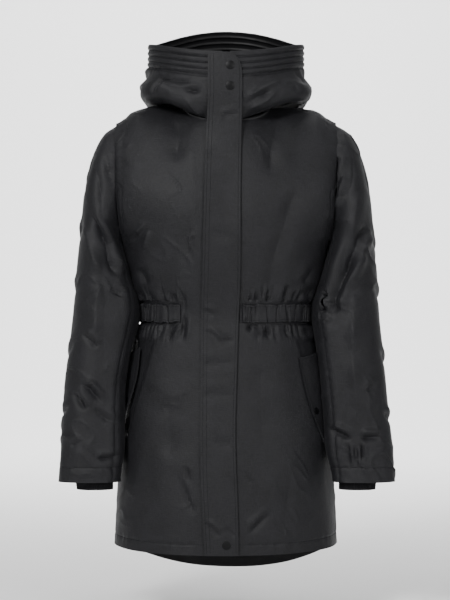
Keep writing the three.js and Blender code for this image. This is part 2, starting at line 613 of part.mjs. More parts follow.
// Press snap caps: a shallow dish with a rolled rim, set on the cloth along its normal
function snap(name, radius, found, gap) {
  const h = SNAP.height;
  const outline = [
    [0, 0], [radius, 0], [radius, h * 0.6], [radius * 0.9, h], [radius * 0.74, h],
    [radius * 0.62, h * 0.72], [0, h * 0.72],
  ].map(([x, y]) => new THREE.Vector2(x, y));
  const mesh = add(name, new THREE.LatheGeometry(outline, 12), metal);
  mesh.position.copy(found.point).addScaledVector(found.normal, gap);
  mesh.quaternion.setFromUnitVectors(new THREE.Vector3(0, 1, 0), found.normal);
}
const flapTop = WALL + LAY + SEAM;
const onBrimAt = (x, s) => brimAt(hoodTurn(brim, x, s), s);
snap('snap_top', SNAP.radius, onBrimAt(7, 0.4), flapTop + 0.5);
snap('snap_neck', SNAP.radius, hoodAt(hoodTurn(hood, 7, 6.6), 6.6), flapTop + 0.1);
snap('snap_hem', SNAP.radius, folded(torsoAt(torsoTurn(0.8, -0.965), -0.965)), flapTop + 0.1);
for (const [name, t, z] of snaps) {
  snap(name, SNAP.pocketRadius, folded(skirtAt(t, z)), flapTop + 0.8);
}

export default parka;
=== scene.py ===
# %% [markdown]
# # A padded parka, worn by nobody
# A winter parka is cut from flat cloth: two fronts, a back, two-piece sleeves and a hood in halves.
# Each panel is a shell of plain-woven polyester over thin padding and a lining, so it is a wall about
# 3 mm thick. The imported model already has every panel as a solid with the garment's true form. This
# lesson copies each of them, makes it smooth, lays the creases, gathers and puckers in, and
# adds the stitching, snaps, zip and knit. Lengths are in metres, and a table in millimetres says so.

# %% Load the fixed frame
import math
from itertools import product

import bpy
import numpy as np
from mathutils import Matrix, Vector, kdtree
from mathutils.bvhtree import BVHTree


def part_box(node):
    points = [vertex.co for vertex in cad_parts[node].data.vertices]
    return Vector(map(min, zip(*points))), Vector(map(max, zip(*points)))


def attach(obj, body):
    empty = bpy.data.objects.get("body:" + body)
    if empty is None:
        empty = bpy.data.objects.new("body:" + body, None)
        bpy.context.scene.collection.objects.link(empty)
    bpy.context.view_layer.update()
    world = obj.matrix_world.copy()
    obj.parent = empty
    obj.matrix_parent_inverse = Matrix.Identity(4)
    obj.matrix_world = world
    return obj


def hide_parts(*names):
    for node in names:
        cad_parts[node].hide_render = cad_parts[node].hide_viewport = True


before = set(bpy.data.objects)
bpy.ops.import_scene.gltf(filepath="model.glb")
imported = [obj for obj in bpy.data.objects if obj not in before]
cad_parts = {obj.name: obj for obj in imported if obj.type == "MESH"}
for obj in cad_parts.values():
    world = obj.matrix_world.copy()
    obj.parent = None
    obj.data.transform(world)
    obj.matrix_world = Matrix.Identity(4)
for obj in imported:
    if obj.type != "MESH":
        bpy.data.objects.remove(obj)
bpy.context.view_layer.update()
MM = 0.001
print("nodes:", len(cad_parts))

# %% [markdown]
# ## Cloth
# Shell cloth: a plain weave of fine polyester yarn, dyed charcoal black and calendered, so it is matt
# with a faint sheen where it curves away. The yarns lie about 0.25 mm apart, which is too fine for a
# picture of the whole coat, so slubs of warp and weft are drawn 1.5 mm wide and very shallow. Their
# colour is painted darker where the weave lies low and lighter where the yarns stand up, a painted shade
# and highlight. Dye takes unevenly, which gives soft cloudy changes of colour and roughness, and the
# cloth has a faint rumple some 20 mm wide. The lining is a smoother taffeta of the same colour, painted
# darker as a painted shade for the inside of the coat. Patterns read Object coordinates, because every
# piece stands in one frame and neighbouring panels then match.

# %% Colours and a helper for nodes
def linear(hex_colour):
    parts = [int(hex_colour[i:i + 2], 16) / 255 for i in (1, 3, 5)]
    return tuple(c / 12.92 if c <= 0.04045 else ((c + 0.055) / 1.055) ** 2.4 for c in parts) + (1.0,)


def add_node(tree, kind, settings=None, links=None):
    node = tree.nodes.new(kind)
    for name, value in (settings or {}).items():
        if isinstance(name, int) or name in node.inputs:
            node.inputs[name].default_value = value
        else:
            setattr(node, name, value)
    for name, socket in (links or {}).items():
        tree.links.new(socket, node.inputs[name])
    return node


def new_material(name, values):
    material = bpy.data.materials.new(name)
    material.use_nodes = True
    shader = material.node_tree.nodes["Principled BSDF"]
    for socket, value in values.items():
        shader.inputs[socket].default_value = value
    return material, material.node_tree, shader


def object_place(tree):
    return add_node(tree, "ShaderNodeTexCoord").outputs["Object"]


# %% The woven cloth's material
def woven_cloth(name, painted_shade_and_dark_dye, painted_light_and_pale_dye, roughness, sheen, thread_mm, relief):
    material, tree, shader = new_material(name, {
        "IOR": 1.5, "Specular IOR Level": 0.24, "Sheen Weight": sheen, "Sheen Roughness": 0.4,
        "Sheen Tint": linear("#d8dae0")})
    place = object_place(tree)
    yarns = []
    for long_way in ((1.0, 1.0, 0.16), (0.16, 0.3, 1.0)):
        turned = add_node(tree, "ShaderNodeMapping", {"Scale": long_way}, {"Vector": place})
        yarns.append(add_node(tree, "ShaderNodeTexNoise", {"Scale": 1 / (thread_mm * MM), "Detail": 1.0},
                              {"Vector": turned.outputs[0]}).outputs["Fac"])
    weave = add_node(tree, "ShaderNodeMath", {"operation": "MAXIMUM"}, {0: yarns[0], 1: yarns[1]})
    dye = add_node(tree, "ShaderNodeTexNoise", {"Scale": 26.0, "Detail": 4.0, "Roughness": 0.6},
                   {"Vector": place})
    soft_dye = add_node(tree, "ShaderNodeMath", {"operation": "MULTIPLY", 1: 0.5}, {0: dye.outputs["Fac"]})
    fuzz = add_node(tree, "ShaderNodeTexNoise", {"Scale": 900.0, "Detail": 2.0}, {"Vector": place})
    weave_shade_and_dye = add_node(tree, "ShaderNodeMath", {"operation": "MULTIPLY_ADD", 1: 0.8},
                     {0: weave.outputs[0], 2: soft_dye.outputs[0]})
    # The colour runs from painted shade where the weave lies low to painted light where the yarns stand up,
    # with the real uneven dye added on top.
    colour = add_node(tree, "ShaderNodeValToRGB", {}, {"Fac": weave_shade_and_dye.outputs[0]})
    for stop, position, shade in zip(colour.color_ramp.elements, (0.4, 0.95), (painted_shade_and_dark_dye, painted_light_and_pale_dye)):
        stop.position = position
        stop.color = linear(shade)
    gloss = add_node(tree, "ShaderNodeMapRange", {"To Min": roughness - 0.06, "To Max": roughness + 0.08},
                     {"Value": dye.outputs["Fac"]})
    height = add_node(tree, "ShaderNodeMath", {"operation": "MULTIPLY_ADD", 1: 0.4},
                      {0: fuzz.outputs["Fac"], 2: weave.outputs[0]})
    bump = add_node(tree, "ShaderNodeBump", {"Strength": relief, "Distance": 0.0004},
                    {"Height": height.outputs[0]})
    rumple = add_node(tree, "ShaderNodeTexNoise",
                      {"Scale": 48.0, "Detail": 3.0, "Roughness": 0.5, "Distortion": 0.3}, {"Vector": place})
    rumple_bump = add_node(tree, "ShaderNodeBump", {"Strength": 0.2, "Distance": 0.003},
                           {"Height": rumple.outputs["Fac"], "Normal": bump.outputs["Normal"]})
    tree.links.new(colour.outputs["Color"], shader.inputs["Base Color"])
    tree.links.new(gloss.outputs["Result"], shader.inputs["Roughness"])
    tree.links.new(rumple_bump.outputs["Normal"], shader.inputs["Normal"])
    return material


# Each pair of colours is the painted shade in the weave's hollows and the painted light on its yarn tops,
# around the cloth's uneven dye.
shell_cloth = woven_cloth("calendered woven polyester shell", "#0c0c0e", "#1e1e21", 0.58, 0.03, 1.5, 1.0)
# The lining is painted darker than the shell's black, a painted shade for the inside of the coat.
shaded_lining_cloth = woven_cloth("taffeta lining painted darker for shade", "#08080a", "#0e0e10", 0.50, 0.02, 0.9, 0.3)
print("cloth materials:", shell_cloth.name, "|", shaded_lining_cloth.name)

# %% [markdown]
# ## A panel becomes cloth
# A copy of the solid is merged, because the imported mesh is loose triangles, and its triangles are
# joined to four-sided faces, which Subdivision Surface smooths evenly. A ray through the wall tells a
# wall face from an edge face: behind a wall face the other side is 3 or 4 mm away. The cut edges are
# creased fully, so the wall keeps its thickness and its corners.

# %% Copy a node's solid
def select_only(piece):
    for other in list(bpy.context.selected_objects):
        other.select_set(False)
    piece.select_set(True)
    bpy.context.view_layer.objects.active = piece


def open_mesh(piece):
    select_only(piece)
    bpy.ops.object.mode_set(mode="EDIT")
    bpy.ops.mesh.select_all(action="SELECT")


def close_mesh():
    bpy.ops.object.mode_set(mode="OBJECT")


def copy_of(node, name):
    mesh = bpy.data.meshes[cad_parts[node].data.name].copy()
    mesh.name = name
    mesh.materials.clear()
    piece = bpy.data.objects.new(name, mesh)
    bpy.context.scene.collection.objects.link(piece)
    open_mesh(piece)
    bpy.ops.mesh.remove_doubles(threshold=0.00002)
    bpy.ops.mesh.tris_convert_to_quads(face_threshold=math.radians(70), shape_threshold=math.radians(70))
    close_mesh()
    return piece


# %% Tell the walls from the cut edges
OUTSIDE, INSIDE, EDGE = 0, 1, 2
THICKEST_WALL = 5.5 * MM
SAME_FACE, SHARP = 0.25, 0.7


def sort_faces(piece, heart):
    mesh = piece.data
    faces = mesh.polygons
    tree = BVHTree.FromPolygons([v.co for v in mesh.vertices], [tuple(p.vertices) for p in faces])
    is_wall = [tree.ray_cast(p.center - p.normal * 0.0002, -p.normal, THICKEST_WALL)[0] is not None
               for p in faces]
    neighbours = {}
    for face in faces:
        for key in face.edge_keys:
            neighbours.setdefault(key, []).append(face.index)
    side_of = {}
    for first in range(len(faces)):
        if first in side_of or not is_wall[first]:
            continue
        island, queue = [first], [first]
        side_of[first] = None
        while queue:
            here = faces[queue.pop()]
            for other in [i for key in here.edge_keys for i in neighbours[key]]:
                if other in side_of or not is_wall[other]:
                    continue
                if here.normal.dot(faces[other].normal) < SAME_FACE:
                    continue
                side_of[other] = None
                island.append(other)
                queue.append(other)
        vote = sum(p.area * p.normal.dot((p.center - heart(p.center)).normalized())
                   for p in [faces[i] for i in island])
        for i in island:
            side_of[i] = OUTSIDE if vote > 0 else INSIDE
    for face in faces:
        face.material_index = side_of.get(face.index, EDGE)
    crease = mesh.attributes.new("crease_edge", "FLOAT", "EDGE")
    for edge in mesh.edges:
        found = [mesh.polygons[i] for i in neighbours[edge.key]]
        kinds = {p.material_index for p in found}
        corner = kinds == {EDGE} and len(found) == 2 and found[0].normal.dot(found[1].normal) < SHARP
        if len(kinds) > 1 or corner:
            crease.data[edge.index].value = 1.0
    return [sum(p.material_index == kind for p in mesh.polygons) for kind in (OUTSIDE, INSIDE, EDGE)]


# %% Cut long cells across, so that a narrow crease has points enough
LONGEST_EDGE = 8.6


def cut_long_edges(piece):
    mesh = piece.data
    for turn in range(2):
        for part in (mesh.polygons, mesh.edges, mesh.vertices):
            part.foreach_set("select", [False] * len(part))
        ends = np.array([e.vertices[:] for e in mesh.edges])
        places = np.array([v.co[:] for v in mesh.vertices])
        size = np.linalg.norm(places[ends[:, 0]] - places[ends[:, 1]], axis=1) / MM
        mesh.edges.foreach_set("select", (size > LONGEST_EDGE).tolist())
        bpy.ops.object.mode_set(mode="EDIT")
        bpy.ops.mesh.select_mode(type="EDGE")
        bpy.ops.mesh.subdivide(number_cuts=1, smoothness=0.0)
        close_mesh()


# %% Smooth a panel
HALF_BAND = 0.045


def smooth_panel(piece, levels, smooth_steps=0, band_height=None):
    """Off the band round one height the smoothing has about an eighth of its strength."""
    select_only(piece)
    for cloth in (shell_cloth, shaded_lining_cloth, shell_cloth):
        piece.data.materials.append(cloth)
    for step in (levels - 1, 1):
        soften = piece.modifiers.new("soften", "SUBSURF")
        soften.levels = soften.render_levels = step
        soften.use_limit_surface = False
        bpy.ops.object.modifier_apply(modifier="soften")
        if step == levels - 1:
            cut_long_edges(piece)
    if not smooth_steps:
        return
    held = {v for p in piece.data.polygons if p.material_index == EDGE for v in p.vertices}
    free = piece.vertex_groups.new(name="free")
    free.add([i for i in range(len(piece.data.vertices)) if i not in held], 1.0, "REPLACE")
    if band_height:
        off = [v.index for v in piece.data.vertices if abs(v.co.z - band_height) > HALF_BAND]
        free.add(off, 0.12, "REPLACE")
        free.remove(list(held))
    even = piece.modifiers.new("even", "SMOOTH")
    even.factor = 0.5
    even.iterations = smooth_steps
    even.vertex_group = "free"
    bpy.ops.object.modifier_apply(modifier="even")
    piece.vertex_groups.clear()


# %% Where the body is inside each piece
ARM_LINE = [
    (181, 0, -125), (194, 0, -139), (203, 0, -160), (209, -3, -188), (212, -7, -223), (211, -13, -267),
    (210, -22, -319), (215, -34, -377), (223, -46, -443), (227, -57, -511), (229, -68, -575),
    (230, -77, -640)]


def trunk(point):
    return Vector((max(-0.11, min(0.11, point.x)), 0.0, min(point.z, -0.09)))


def head(point):
    return Vector((0.0, 0.035, 0.04))


def arm(point):
    side = -1 if point.x < 0 else 1
    line = [Vector((x * side, y, z)) * MM for x, y, z in ARM_LINE]
    best, place = 9.0, line[0]
    for a, b in zip(line, line[1:]):
        t = max(0.0, min(1.0, (point - a).dot(b - a) / (b - a).length_squared))
        near = a.lerp(b, t)
        if (point - near).length < best:
            best, place = (point - near).length, near
    return place


# %% Every cloth panel, smoothed
BODY = ["front_right", "front_left", "back"]
SLEEVES = ["sleeve_upper_right", "sleeve_upper_left", "sleeve_under_right", "sleeve_under_left"]
HOOD = ["hood_right", "hood_left", "brim"]
ON_TOP = ["placket", "casing_right", "casing_left", "casing_back", "pocket_flap_right", "pocket_flap_left"]
HEARTS = (dict.fromkeys(BODY, trunk) | dict.fromkeys(SLEEVES, arm) | dict.fromkeys(HOOD, head)
          | dict.fromkeys(ON_TOP, trunk))
UPPER_CHEST = -0.232
panels = {}
for node, heart in HEARTS.items():
    piece = panels[node] = copy_of(node, node + "_cloth")
    counts = sort_faces(piece, heart)
    smooth_panel(piece, 3 if node == "brim" else 2, *((90, UPPER_CHEST) if node in BODY else (8,)))
    triangles = sum(len(p.vertices) - 2 for p in piece.data.polygons)
    print(node, "faces outside, inside, edge:", counts, "triangles:", triangles)

# %% [markdown]
# ## Folds, gathers and puckers
# Cloth shows its weight in creases. A crease here is a short line of points on a view of the garment,
# with a width, a depth and a ridge beside it where the cloth bulges over. The lines were placed one by one,
# each as uneven as the real one. A negative depth is a soft ridge. All of them push the two faces of a
# wall together, so the cloth keeps its thickness. This was chosen over a cloth simulation, because the
# garment is filled out and hangs still, and each fold has its own known place.

# %% Points of a mesh as numbers in millimetres
def ease(low, high, x):
    t = np.clip((x - low) / (high - low), 0.0, 1.0)
    return t * t * (3.0 - 2.0 * t)


def column(items, field, kind=np.float32, width=1):
    flat = np.empty(len(items) * width, kind)
    items.foreach_get(field, flat)
    return flat.reshape(-1, width) if width > 1 else flat


def read_points(mesh):
    return column(mesh.vertices, "co", width=3).astype(np.float64) * 1000


def write_points(mesh, points):
    mesh.vertices.foreach_set("co", (points * MM).astype(np.float32).ravel())
    mesh.update()


def nearest(tree, points):
    """The index of the nearest point of a tree to each point, and how far it is."""
    found = [tree.find(p) for p in points]
    return np.array([f[1] for f in found]), np.array([f[2] for f in found])


def bell(x, width):
    return np.exp(-(x / width) ** 2)


def unit(vectors):
    return vectors / np.linalg.norm(vectors, axis=1)[:, None]


def tree_of(points):
    tree = kdtree.KDTree(len(points))
    for i, p in enumerate(points):
        tree.insert(p, i)
    tree.balance()
    return tree


# %% Which way is out, at every point of a wall
OUTER_RIM, INNER_RIM = 1, 2


def outward(piece):
    """Points, outward direction and rim of a wall: 1 on its outer rim, 2 on its inner rim, else 0."""
    mesh = piece.data
    kinds = column(mesh.polygons, "material_index", np.int32)
    starts = column(mesh.polygons, "loop_start", np.int32)
    corners = column(mesh.loops, "vertex_index", np.int32)
    face_of = np.repeat(np.arange(len(kinds)), np.diff(np.append(starts, len(corners))))
    sign = np.where(kinds == OUTSIDE, 1.0, np.where(kinds == INSIDE, -1.0, 0.0))
    pull = column(mesh.polygons, "normal", width=3) * (sign * column(mesh.polygons, "area"))[:, None]
    facing = np.zeros((len(mesh.vertices), 3))
    np.add.at(facing, corners, pull[face_of])
    touches = np.zeros((3, len(mesh.vertices)), bool)
    touches[kinds[face_of], corners] = True
    on_rim = touches[EDGE] & (touches[OUTSIDE] | touches[INSIDE])
    rim = np.where(on_rim, np.where(touches[OUTSIDE], OUTER_RIM, INNER_RIM), 0)
    known = np.linalg.norm(facing, axis=1) > 1e-12
    points = read_points(mesh)
    if not known.all():
        sources = np.nonzero((rim > 0) & known)[0]
        facing[~known] = facing[sources[nearest(tree_of(points[sources]), points[~known])[0]]]
    return points, unit(facing), rim


# %% Soft unevenness
def cloud(points, size, seed):
    """Smooth random values from -1 to 1, with bumps about as wide as size."""
    p = points / size + 100.0
    cell = np.floor(p).astype(np.int64)
    f = p - cell
    f = f * f * (3.0 - 2.0 * f)
    total = np.zeros(len(points))
    for corner in product((0, 1), repeat=3):
        h = np.bitwise_xor.reduce((cell + corner) * [73856093, 19349663, 83492791], axis=1)
        h = (h + seed * 1013904223) & 0x7FFFFFFF
        h = (h ^ (h >> 13)) * 1274126177 & 0x7FFFFFFF
        h = (h ^ (h >> 15)) * 668265263 & 0x7FFFFFFF
        total += ((h >> 8 & 0xFFFF) / 32767.5 - 1.0) * np.where(corner, f, 1 - f).prod(1)
    return total


# %% The depth that a table of creases gives
SEEN = {"front": (0, 1, -1), "back": (0, 1, 1), "right": (1, 0, -1), "left": (1, 0, 1)}


def crease_depth(points, facing, rows, deeper):
    """How far a table of creases moves each point along its outward direction, in millimetres."""
    total = np.zeros(len(points))
    for view, line, width, depth, ridge in rows:
        across, axis, sign = SEEN[view]
        line = np.array(line, float)
        view_points, seen = points[:, [across, 2]], facing[:, axis] * sign
        reach = width * 5
        around = (view_points > line.min(0) - reach) & (view_points < line.max(0) + reach)
        near = np.nonzero(around.all(1) & (seen > 0.02))[0]
        if not len(near):
            continue
        here = view_points[near]
        best, signed, along = np.full(len(near), 1e9), np.zeros(len(near)), np.zeros(len(near))
        gone = 0.0
        whole = np.linalg.norm(np.diff(line, axis=0), axis=1).sum()
        for a, b in zip(line, line[1:]):
            step = b - a
            span = np.linalg.norm(step)
            t = np.clip(((here - a) @ step) / span ** 2, 0, 1)
            gap = here - a - t[:, None] * step
            far = np.linalg.norm(gap, axis=1)
            closer = far < best
            best = np.where(closer, far, best)
            side = np.sign(step[0] * gap[:, 1] - step[1] * gap[:, 0])
            signed = np.where(closer, far * side, signed)
            along = np.where(closer, gone + t * span, along)
            gone += span
        tail = min(0.35 * whole, 30.0)
        taper = ease(0, tail, along) * ease(whole, whole - tail, along)
        taper *= 0.85 + 0.3 * np.sin(along / 11.0 + line[0, 0])
        shape = -np.exp(-np.abs(signed / width) ** 1.35) + 0.8 * ridge * bell(signed - 2 * width, 1.3 * width)
        total[near] += depth * deeper * taper * shape * ease(0.05, 0.6, seen[near])
    return total


# %% Creases of the trunk, by the side they are seen from: line, width, depth and ridge
def flat(creases):
    return [(view, *row) for view, rows in creases.items() for row in rows]


TRUNK_CREASES = flat({
    "front": [([(-80, -22), (-84, -97)], 12, 2.2, 0.3), ([(-154, -213), (-134, -191)], 5, -1.6, 0),
        ([(-140, -239), (-128, -205)], 5, -1.8, 0), ([(-161, -227), (-130, -200)], 4, 2, 0.3),
        ([(90, -22), (77, -72), (73, -122)], 12, 2.2, 0.3),
        ([(123, -123), (97, -198), (77, -265), (73, -320)], 14, 2.0, 0.4),
        ([(-85, -605), (-48, -688)], 5, 1.5, 0.6), ([(-68, -597), (-60, -630)], 4, 1.2, 0.5),
        ([(30, -717), (59, -690), (81, -670)], 5, 1.8, 0.7), ([(28, -605), (42, -631)], 4, 1.6, 0.6),
        ([(30, -373), (57, -360)], 4, 2.2, 0.8), ([(60, -390), (82, -361)], 4.5, 2.2, 0.8),
        ([(128, -300), (150, -262)], 6, 1.8, 0.5), ([(-132, -300), (-148, -268)], 6, 1.8, 0.5),
        ([(-60, -180), (-70, -300)], 18, 1.6, 0), ([(55, -420), (62, -560)], 20, 1.5, 0),
        ([(-100, -480), (-92, -600)], 20, 1.5, 0), ([(110, -600), (96, -720)], 16, 1.5, 0)],
    "back": [([(-120, -150), (-80, -212)], 8, 2.2, 0.4), ([(120, -140), (85, -205)], 8, 2.2, 0.4),
        ([(-40, -110), (-45, -290)], 15, 1.8, 0), ([(50, -120), (52, -300)], 15, 1.8, 0),
        ([(-130, -250), (-75, -318)], 6, 2.2, 0.6), ([(128, -262), (70, -322)], 6, 2.2, 0.6),
        ([(-60, -225), (20, -235), (70, -220)], 10, 1.6, 0.4), ([(-130, -540), (-70, -610)], 10, 2.0, 0.4),
        ([(120, -520), (55, -600)], 10, 2.0, 0.4), ([(-60, -780), (-50, -690)], 9, 1.8, 0.3),
        ([(72, -770), (60, -690)], 9, 1.8, 0.3), ([(0, -700), (6, -560)], 16, 1.6, 0)],
    "right": [([(-20, -420), (-10, -560)], 12, 1.8, 0.3), ([(20, -600), (25, -700)], 9, 1.6, 0.3)],
    "left": [([(-15, -430), (0, -570)], 12, 1.8, 0.3), ([(25, -590), (15, -700)], 9, 1.6, 0.3)],
})

# %% Creases of the sleeves
RIGHT_SLEEVE_CREASES = flat({
    "front": [([(-211, -68), (-201, -91), (-191, -120), (-186, -145)], 7, 2.5, 0.5),
        ([(-223, -86), (-215, -117), (-210, -154), (-208, -201)], 9, 2, 0.3),
        ([(-234, -178), (-224, -185), (-214, -205), (-201, -230), (-197, -256), (-187, -289)], 5, 3.5, 0.8),
        ([(-238, -188), (-229, -230), (-217, -264), (-209, -289)], 8, -2.5, 0),
        ([(-197, -304), (-179, -318)], 4, 2, 0.6), ([(-213, -293), (-217, -340), (-219, -390)], 9, -2, 0),
        ([(-242, -377), (-213, -404)], 4.5, 2.5, 0.8),
        ([(-245, -464), (-228, -471), (-205, -498)], 4.5, 2.5, 0.8),
        ([(-258, -474), (-232, -509)], 5, 2.5, 0.6), ([(-223, -502), (-191, -531)], 4.5, 2.2, 0.7),
        ([(-219, -589), (-178, -584)], 4, 2, 0.5), ([(-261, -567), (-237, -557)], 4, 1.8, 0.6)],
    "back": [([(-240, -170), (-210, -235), (-192, -300)], 6, 3, 0.8),
        ([(-246, -300), (-205, -345)], 5, 2.5, 0.8), ([(-250, -360), (-215, -390)], 5, 2.4, 0.7),
        ([(-254, -440), (-212, -482)], 5, 2.4, 0.6), ([(-258, -520), (-222, -548)], 5, 2, 0.6),
        ([(-225, -90), (-205, -160)], 8, 2, 0.3)],
    "right": [([(-50, -190), (25, -262)], 7, 2.6, 0.6), ([(-62, -290), (12, -330)], 6, 2.6, 0.6),
        ([(-80, -395), (-12, -440)], 6, 2.4, 0.6), ([(-92, -500), (-40, -528)], 5, 2.2, 0.6),
        ([(-30, -70), (-20, -150)], 9, 1.8, 0.3)],
})
LEFT_SLEEVE_CREASES = flat({
    "front": [([(188, -69), (177, -120)], 6, 2.5, 0.5),
        ([(198, -107), (189, -129), (179, -154), (169, -171)], 5, 3, 0.8),
        ([(192, -186), (175, -208), (163, -255)], 5, 3, 0.6),
        ([(239, -192), (229, -213), (217, -239), (206, -272), (189, -306), (175, -340)], 7, 4, 0.8),
        ([(178, -323), (195, -343)], 6, 3, 0.4), ([(201, -107), (188, -154)], 6, -2, 0),
        ([(221, -137), (210, -222)], 8, -2, 0), ([(239, -202), (222, -256), (192, -323)], 8, -2.5, 0),
        ([(215, -306), (211, -407), (218, -508)], 10, -2.5, 0), ([(176, -537), (211, -557)], 4.5, 2.5, 0.8),
        ([(221, -554), (266, -551)], 4.5, 2.5, 0.8), ([(202, -559), (207, -607)], 3, 1.6, 0.5),
        ([(215, -564), (219, -604)], 3, 1.6, 0.5), ([(226, -557), (227, -594)], 3, 1.4, 0.5),
        ([(235, -477), (255, -457)], 4.5, 1.8, 0.6)],
    "back": [([(238, -160), (214, -225), (190, -290)], 6, 3, 0.8), ([(248, -310), (203, -350)], 5, 2.5, 0.8),
        ([(252, -372), (218, -398)], 5, 2.2, 0.7), ([(256, -452), (214, -490)], 5, 2.4, 0.6),
        ([(262, -528), (225, -552)], 5, 2, 0.6), ([(228, -96), (206, -165)], 8, 2, 0.3)],
    "left": [([(-48, -200), (22, -268)], 7, 2.6, 0.6), ([(-60, -300), (14, -338)], 6, 2.6, 0.6),
        ([(-78, -405), (-14, -448)], 6, 2.4, 0.6), ([(-94, -510), (-42, -534)], 5, 2.2, 0.6),
        ([(-28, -76), (-18, -150)], 9, 1.8, 0.3)],
})

# %% Creases of the hood and the front flap
HOOD_CREASES = flat({
    "front": [([(-55, 42), (-94, 44), (-110, 47), (-119, 33), (-131, 13)], 5, 3.2, 0.6),
        ([(-77, 31), (-40, 25)], 4.5, 2.5, 0.6), ([(-72, 15), (-52, -4), (-35, -16)], 5, -3, 0),
        ([(-114, 38), (-124, 20), (-127, 5)], 5, 2, 0.6), ([(32, 16), (60, 30), (94, 43)], 5, -3, 0),
        ([(28, 3), (60, 20), (80, 26)], 4.5, 2.8, 0.4), ([(33, -4), (70, 10), (90, 23)], 5, -2.5, 0),
        ([(104, 39), (117, 26), (124, 10)], 5, 2.2, 0.6), ([(110, 70), (130, 52), (136, 30)], 6, 2.2, 0.5),
        ([(-100, 84), (-126, 70), (-134, 50)], 6, 2, 0.5)],
    "back": [([(-95, 62), (-35, 22), (28, 18), (98, 58)], 8, 3.2, 0.6),
        ([(-72, 8), (0, -26), (72, 4)], 7, 3, 0.6), ([(-46, 104), (-8, 62)], 7, 2.2, 0.5),
        ([(64, 100), (24, 54)], 7, 2.2, 0.5)],
    "right": [([(-40, 70), (30, 48), (90, 10)], 7, 3, 0.6), ([(-30, 30), (40, 8), (90, -35)], 7, 2.8, 0.6),
        ([(60, 90), (110, 50), (135, 0)], 8, 2.6, 0.5)],
    "left": [([(-38, 74), (34, 44), (92, 14)], 7, 3, 0.6), ([(-28, 34), (44, 4), (88, -30)], 7, 2.8, 0.6),
        ([(64, 86), (108, 46), (134, 4)], 8, 2.6, 0.5)],
})
FLAP_CREASES = flat({
    "front": [([(-43, -338), (-18, -350)], 4, 1.8, 0.8),
        ([(-40, -371), (-23, -381), (-12, -393), (18, -390)], 4, 2.6, 0.9),
        ([(-43, -431), (18, -426)], 7, 1.4, 0.5), ([(-43, -483), (17, -480)], 8, 1.4, 0.5),
        ([(-10, -17), (25, -9)], 4, 2, 0.8), ([(-38, -690), (-7, -716)], 4, 2, 0.8),
        ([(-37, -73), (20, -83)], 8, 1, 0.4), ([(-40, -555), (15, -565)], 9, 1, 0.4),
        ([(-38, -210), (22, -222)], 9, 1, 0.4), ([(18, -716), (-6, -700)], 4, 1.4, 0.6)],
})

# %% [markdown]
# The waist is drawn in by elastic, so cloth fans out above and below each casing in short gathers.
# They start under the casing and die away after 20 to 45 mm, no two alike.

# %% Gathers of the waist
WAIST = -345
FRONT_GATHERS = [-148, -135, -124, -105, -90, -84, -70, 38, 50, 60, 68, 78, 98, 110, 119, 129, 136, 148]
scatter = np.random.default_rng(7)
BACK_GATHERS = [x + scatter.uniform(-3.2, 3.2) for x in np.arange(-150, 151, 13.5)]


def gathers(view, places):
    rows = []
    for x in places:
        lean = x * 0.10
        for way in (1, -1):
            edge = WAIST + 12 * way
            reach = scatter.uniform(22, 44)
            rows.append((view, [(x, edge - way * 14), (x + lean * 0.3, edge + way * reach * 0.5),
                                (x + lean + scatter.uniform(-3, 3), edge + way * reach)],
                         scatter.uniform(3.0, 4.6), scatter.uniform(1.3, 2.3), 0.5))
    return rows


WAIST_GATHERS = gathers("front", FRONT_GATHERS) + gathers("back", BACK_GATHERS)
print("creases laid:", sum(map(len, (TRUNK_CREASES, RIGHT_SLEEVE_CREASES, LEFT_SLEEVE_CREASES, HOOD_CREASES,
                                     FLAP_CREASES, WAIST_GATHERS))))

# %% [markdown]
# Where two panels are sewn, the seam pulls the cloth down into a groove, and the thread draws it up in
# fine puckers that run off the seam. The groove and its puckers depend only on where the seam is, so
# both panels match along it. Cloth that another piece lies on stays flat and a little lower.

# %% Find each panel's sewn edges
FAMILY = (dict.fromkeys(BODY, "trunk") | dict.fromkeys(SLEEVES[::2], "right arm")
          | dict.fromkeys(SLEEVES[1::2], "left arm") | dict.fromkeys(HOOD, "hood"))
NOT_MET = 999.0
shape_of = {node: outward(piece) for node, piece in panels.items()}
rims, rim_facing, rim_kind = {}, {}, {}
for node in FAMILY:
    points, facing, rim = shape_of[node]
    rims[node], rim_facing[node], rim_kind[node] = points[rim > 0], facing[rim > 0], rim[rim > 0]


def reach_of(node, other):
    """How far apart two rims may lie and still be sewn together, at each rim point of the node."""
    high = rims[node][:, 2]
    if FAMILY[other] != FAMILY[node]:
        return np.where(high > -150, 14.0, 8.0)
    along_seam = np.where(high > -560, 6.5, 3.6)
    if node in SLEEVES:
        along_seam = np.where((high > -310) & (high < -150), 13.0, along_seam)
    return along_seam


def nearest_other(node, others):
    """For each rim point, the closest rim point of the other panels on the same face of the wall."""
    place, out = rims[node].copy(), rim_facing[node].copy()
    best = np.full(len(rims[node]), NOT_MET)
    for other in others:
        reach = reach_of(node, other)
        across_armhole = FAMILY[other] != FAMILY[node]
        for kind in (OUTER_RIM, INNER_RIM, 0)[:3 if across_armhole else 2]:
            mine, theirs = rim_kind[node] == kind, rim_kind[other] == kind
            if kind == 0:
                mine, theirs = (best == NOT_MET) & (rims[node][:, 2] > -110), rim_kind[other] > 0
            if not mine.any() or not theirs.any():
                continue
            index, far = nearest(tree_of(rims[other][theirs]), rims[node][mine])
            closer = (far < best[mine]) & (far < reach[mine])
            rows = np.nonzero(mine)[0][closer]
            place[rows] = rims[other][theirs][index[closer]]
            out[rows] = rim_facing[other][theirs][index[closer]]
            best[rows] = far[closer]
    return place, out, best < NOT_MET


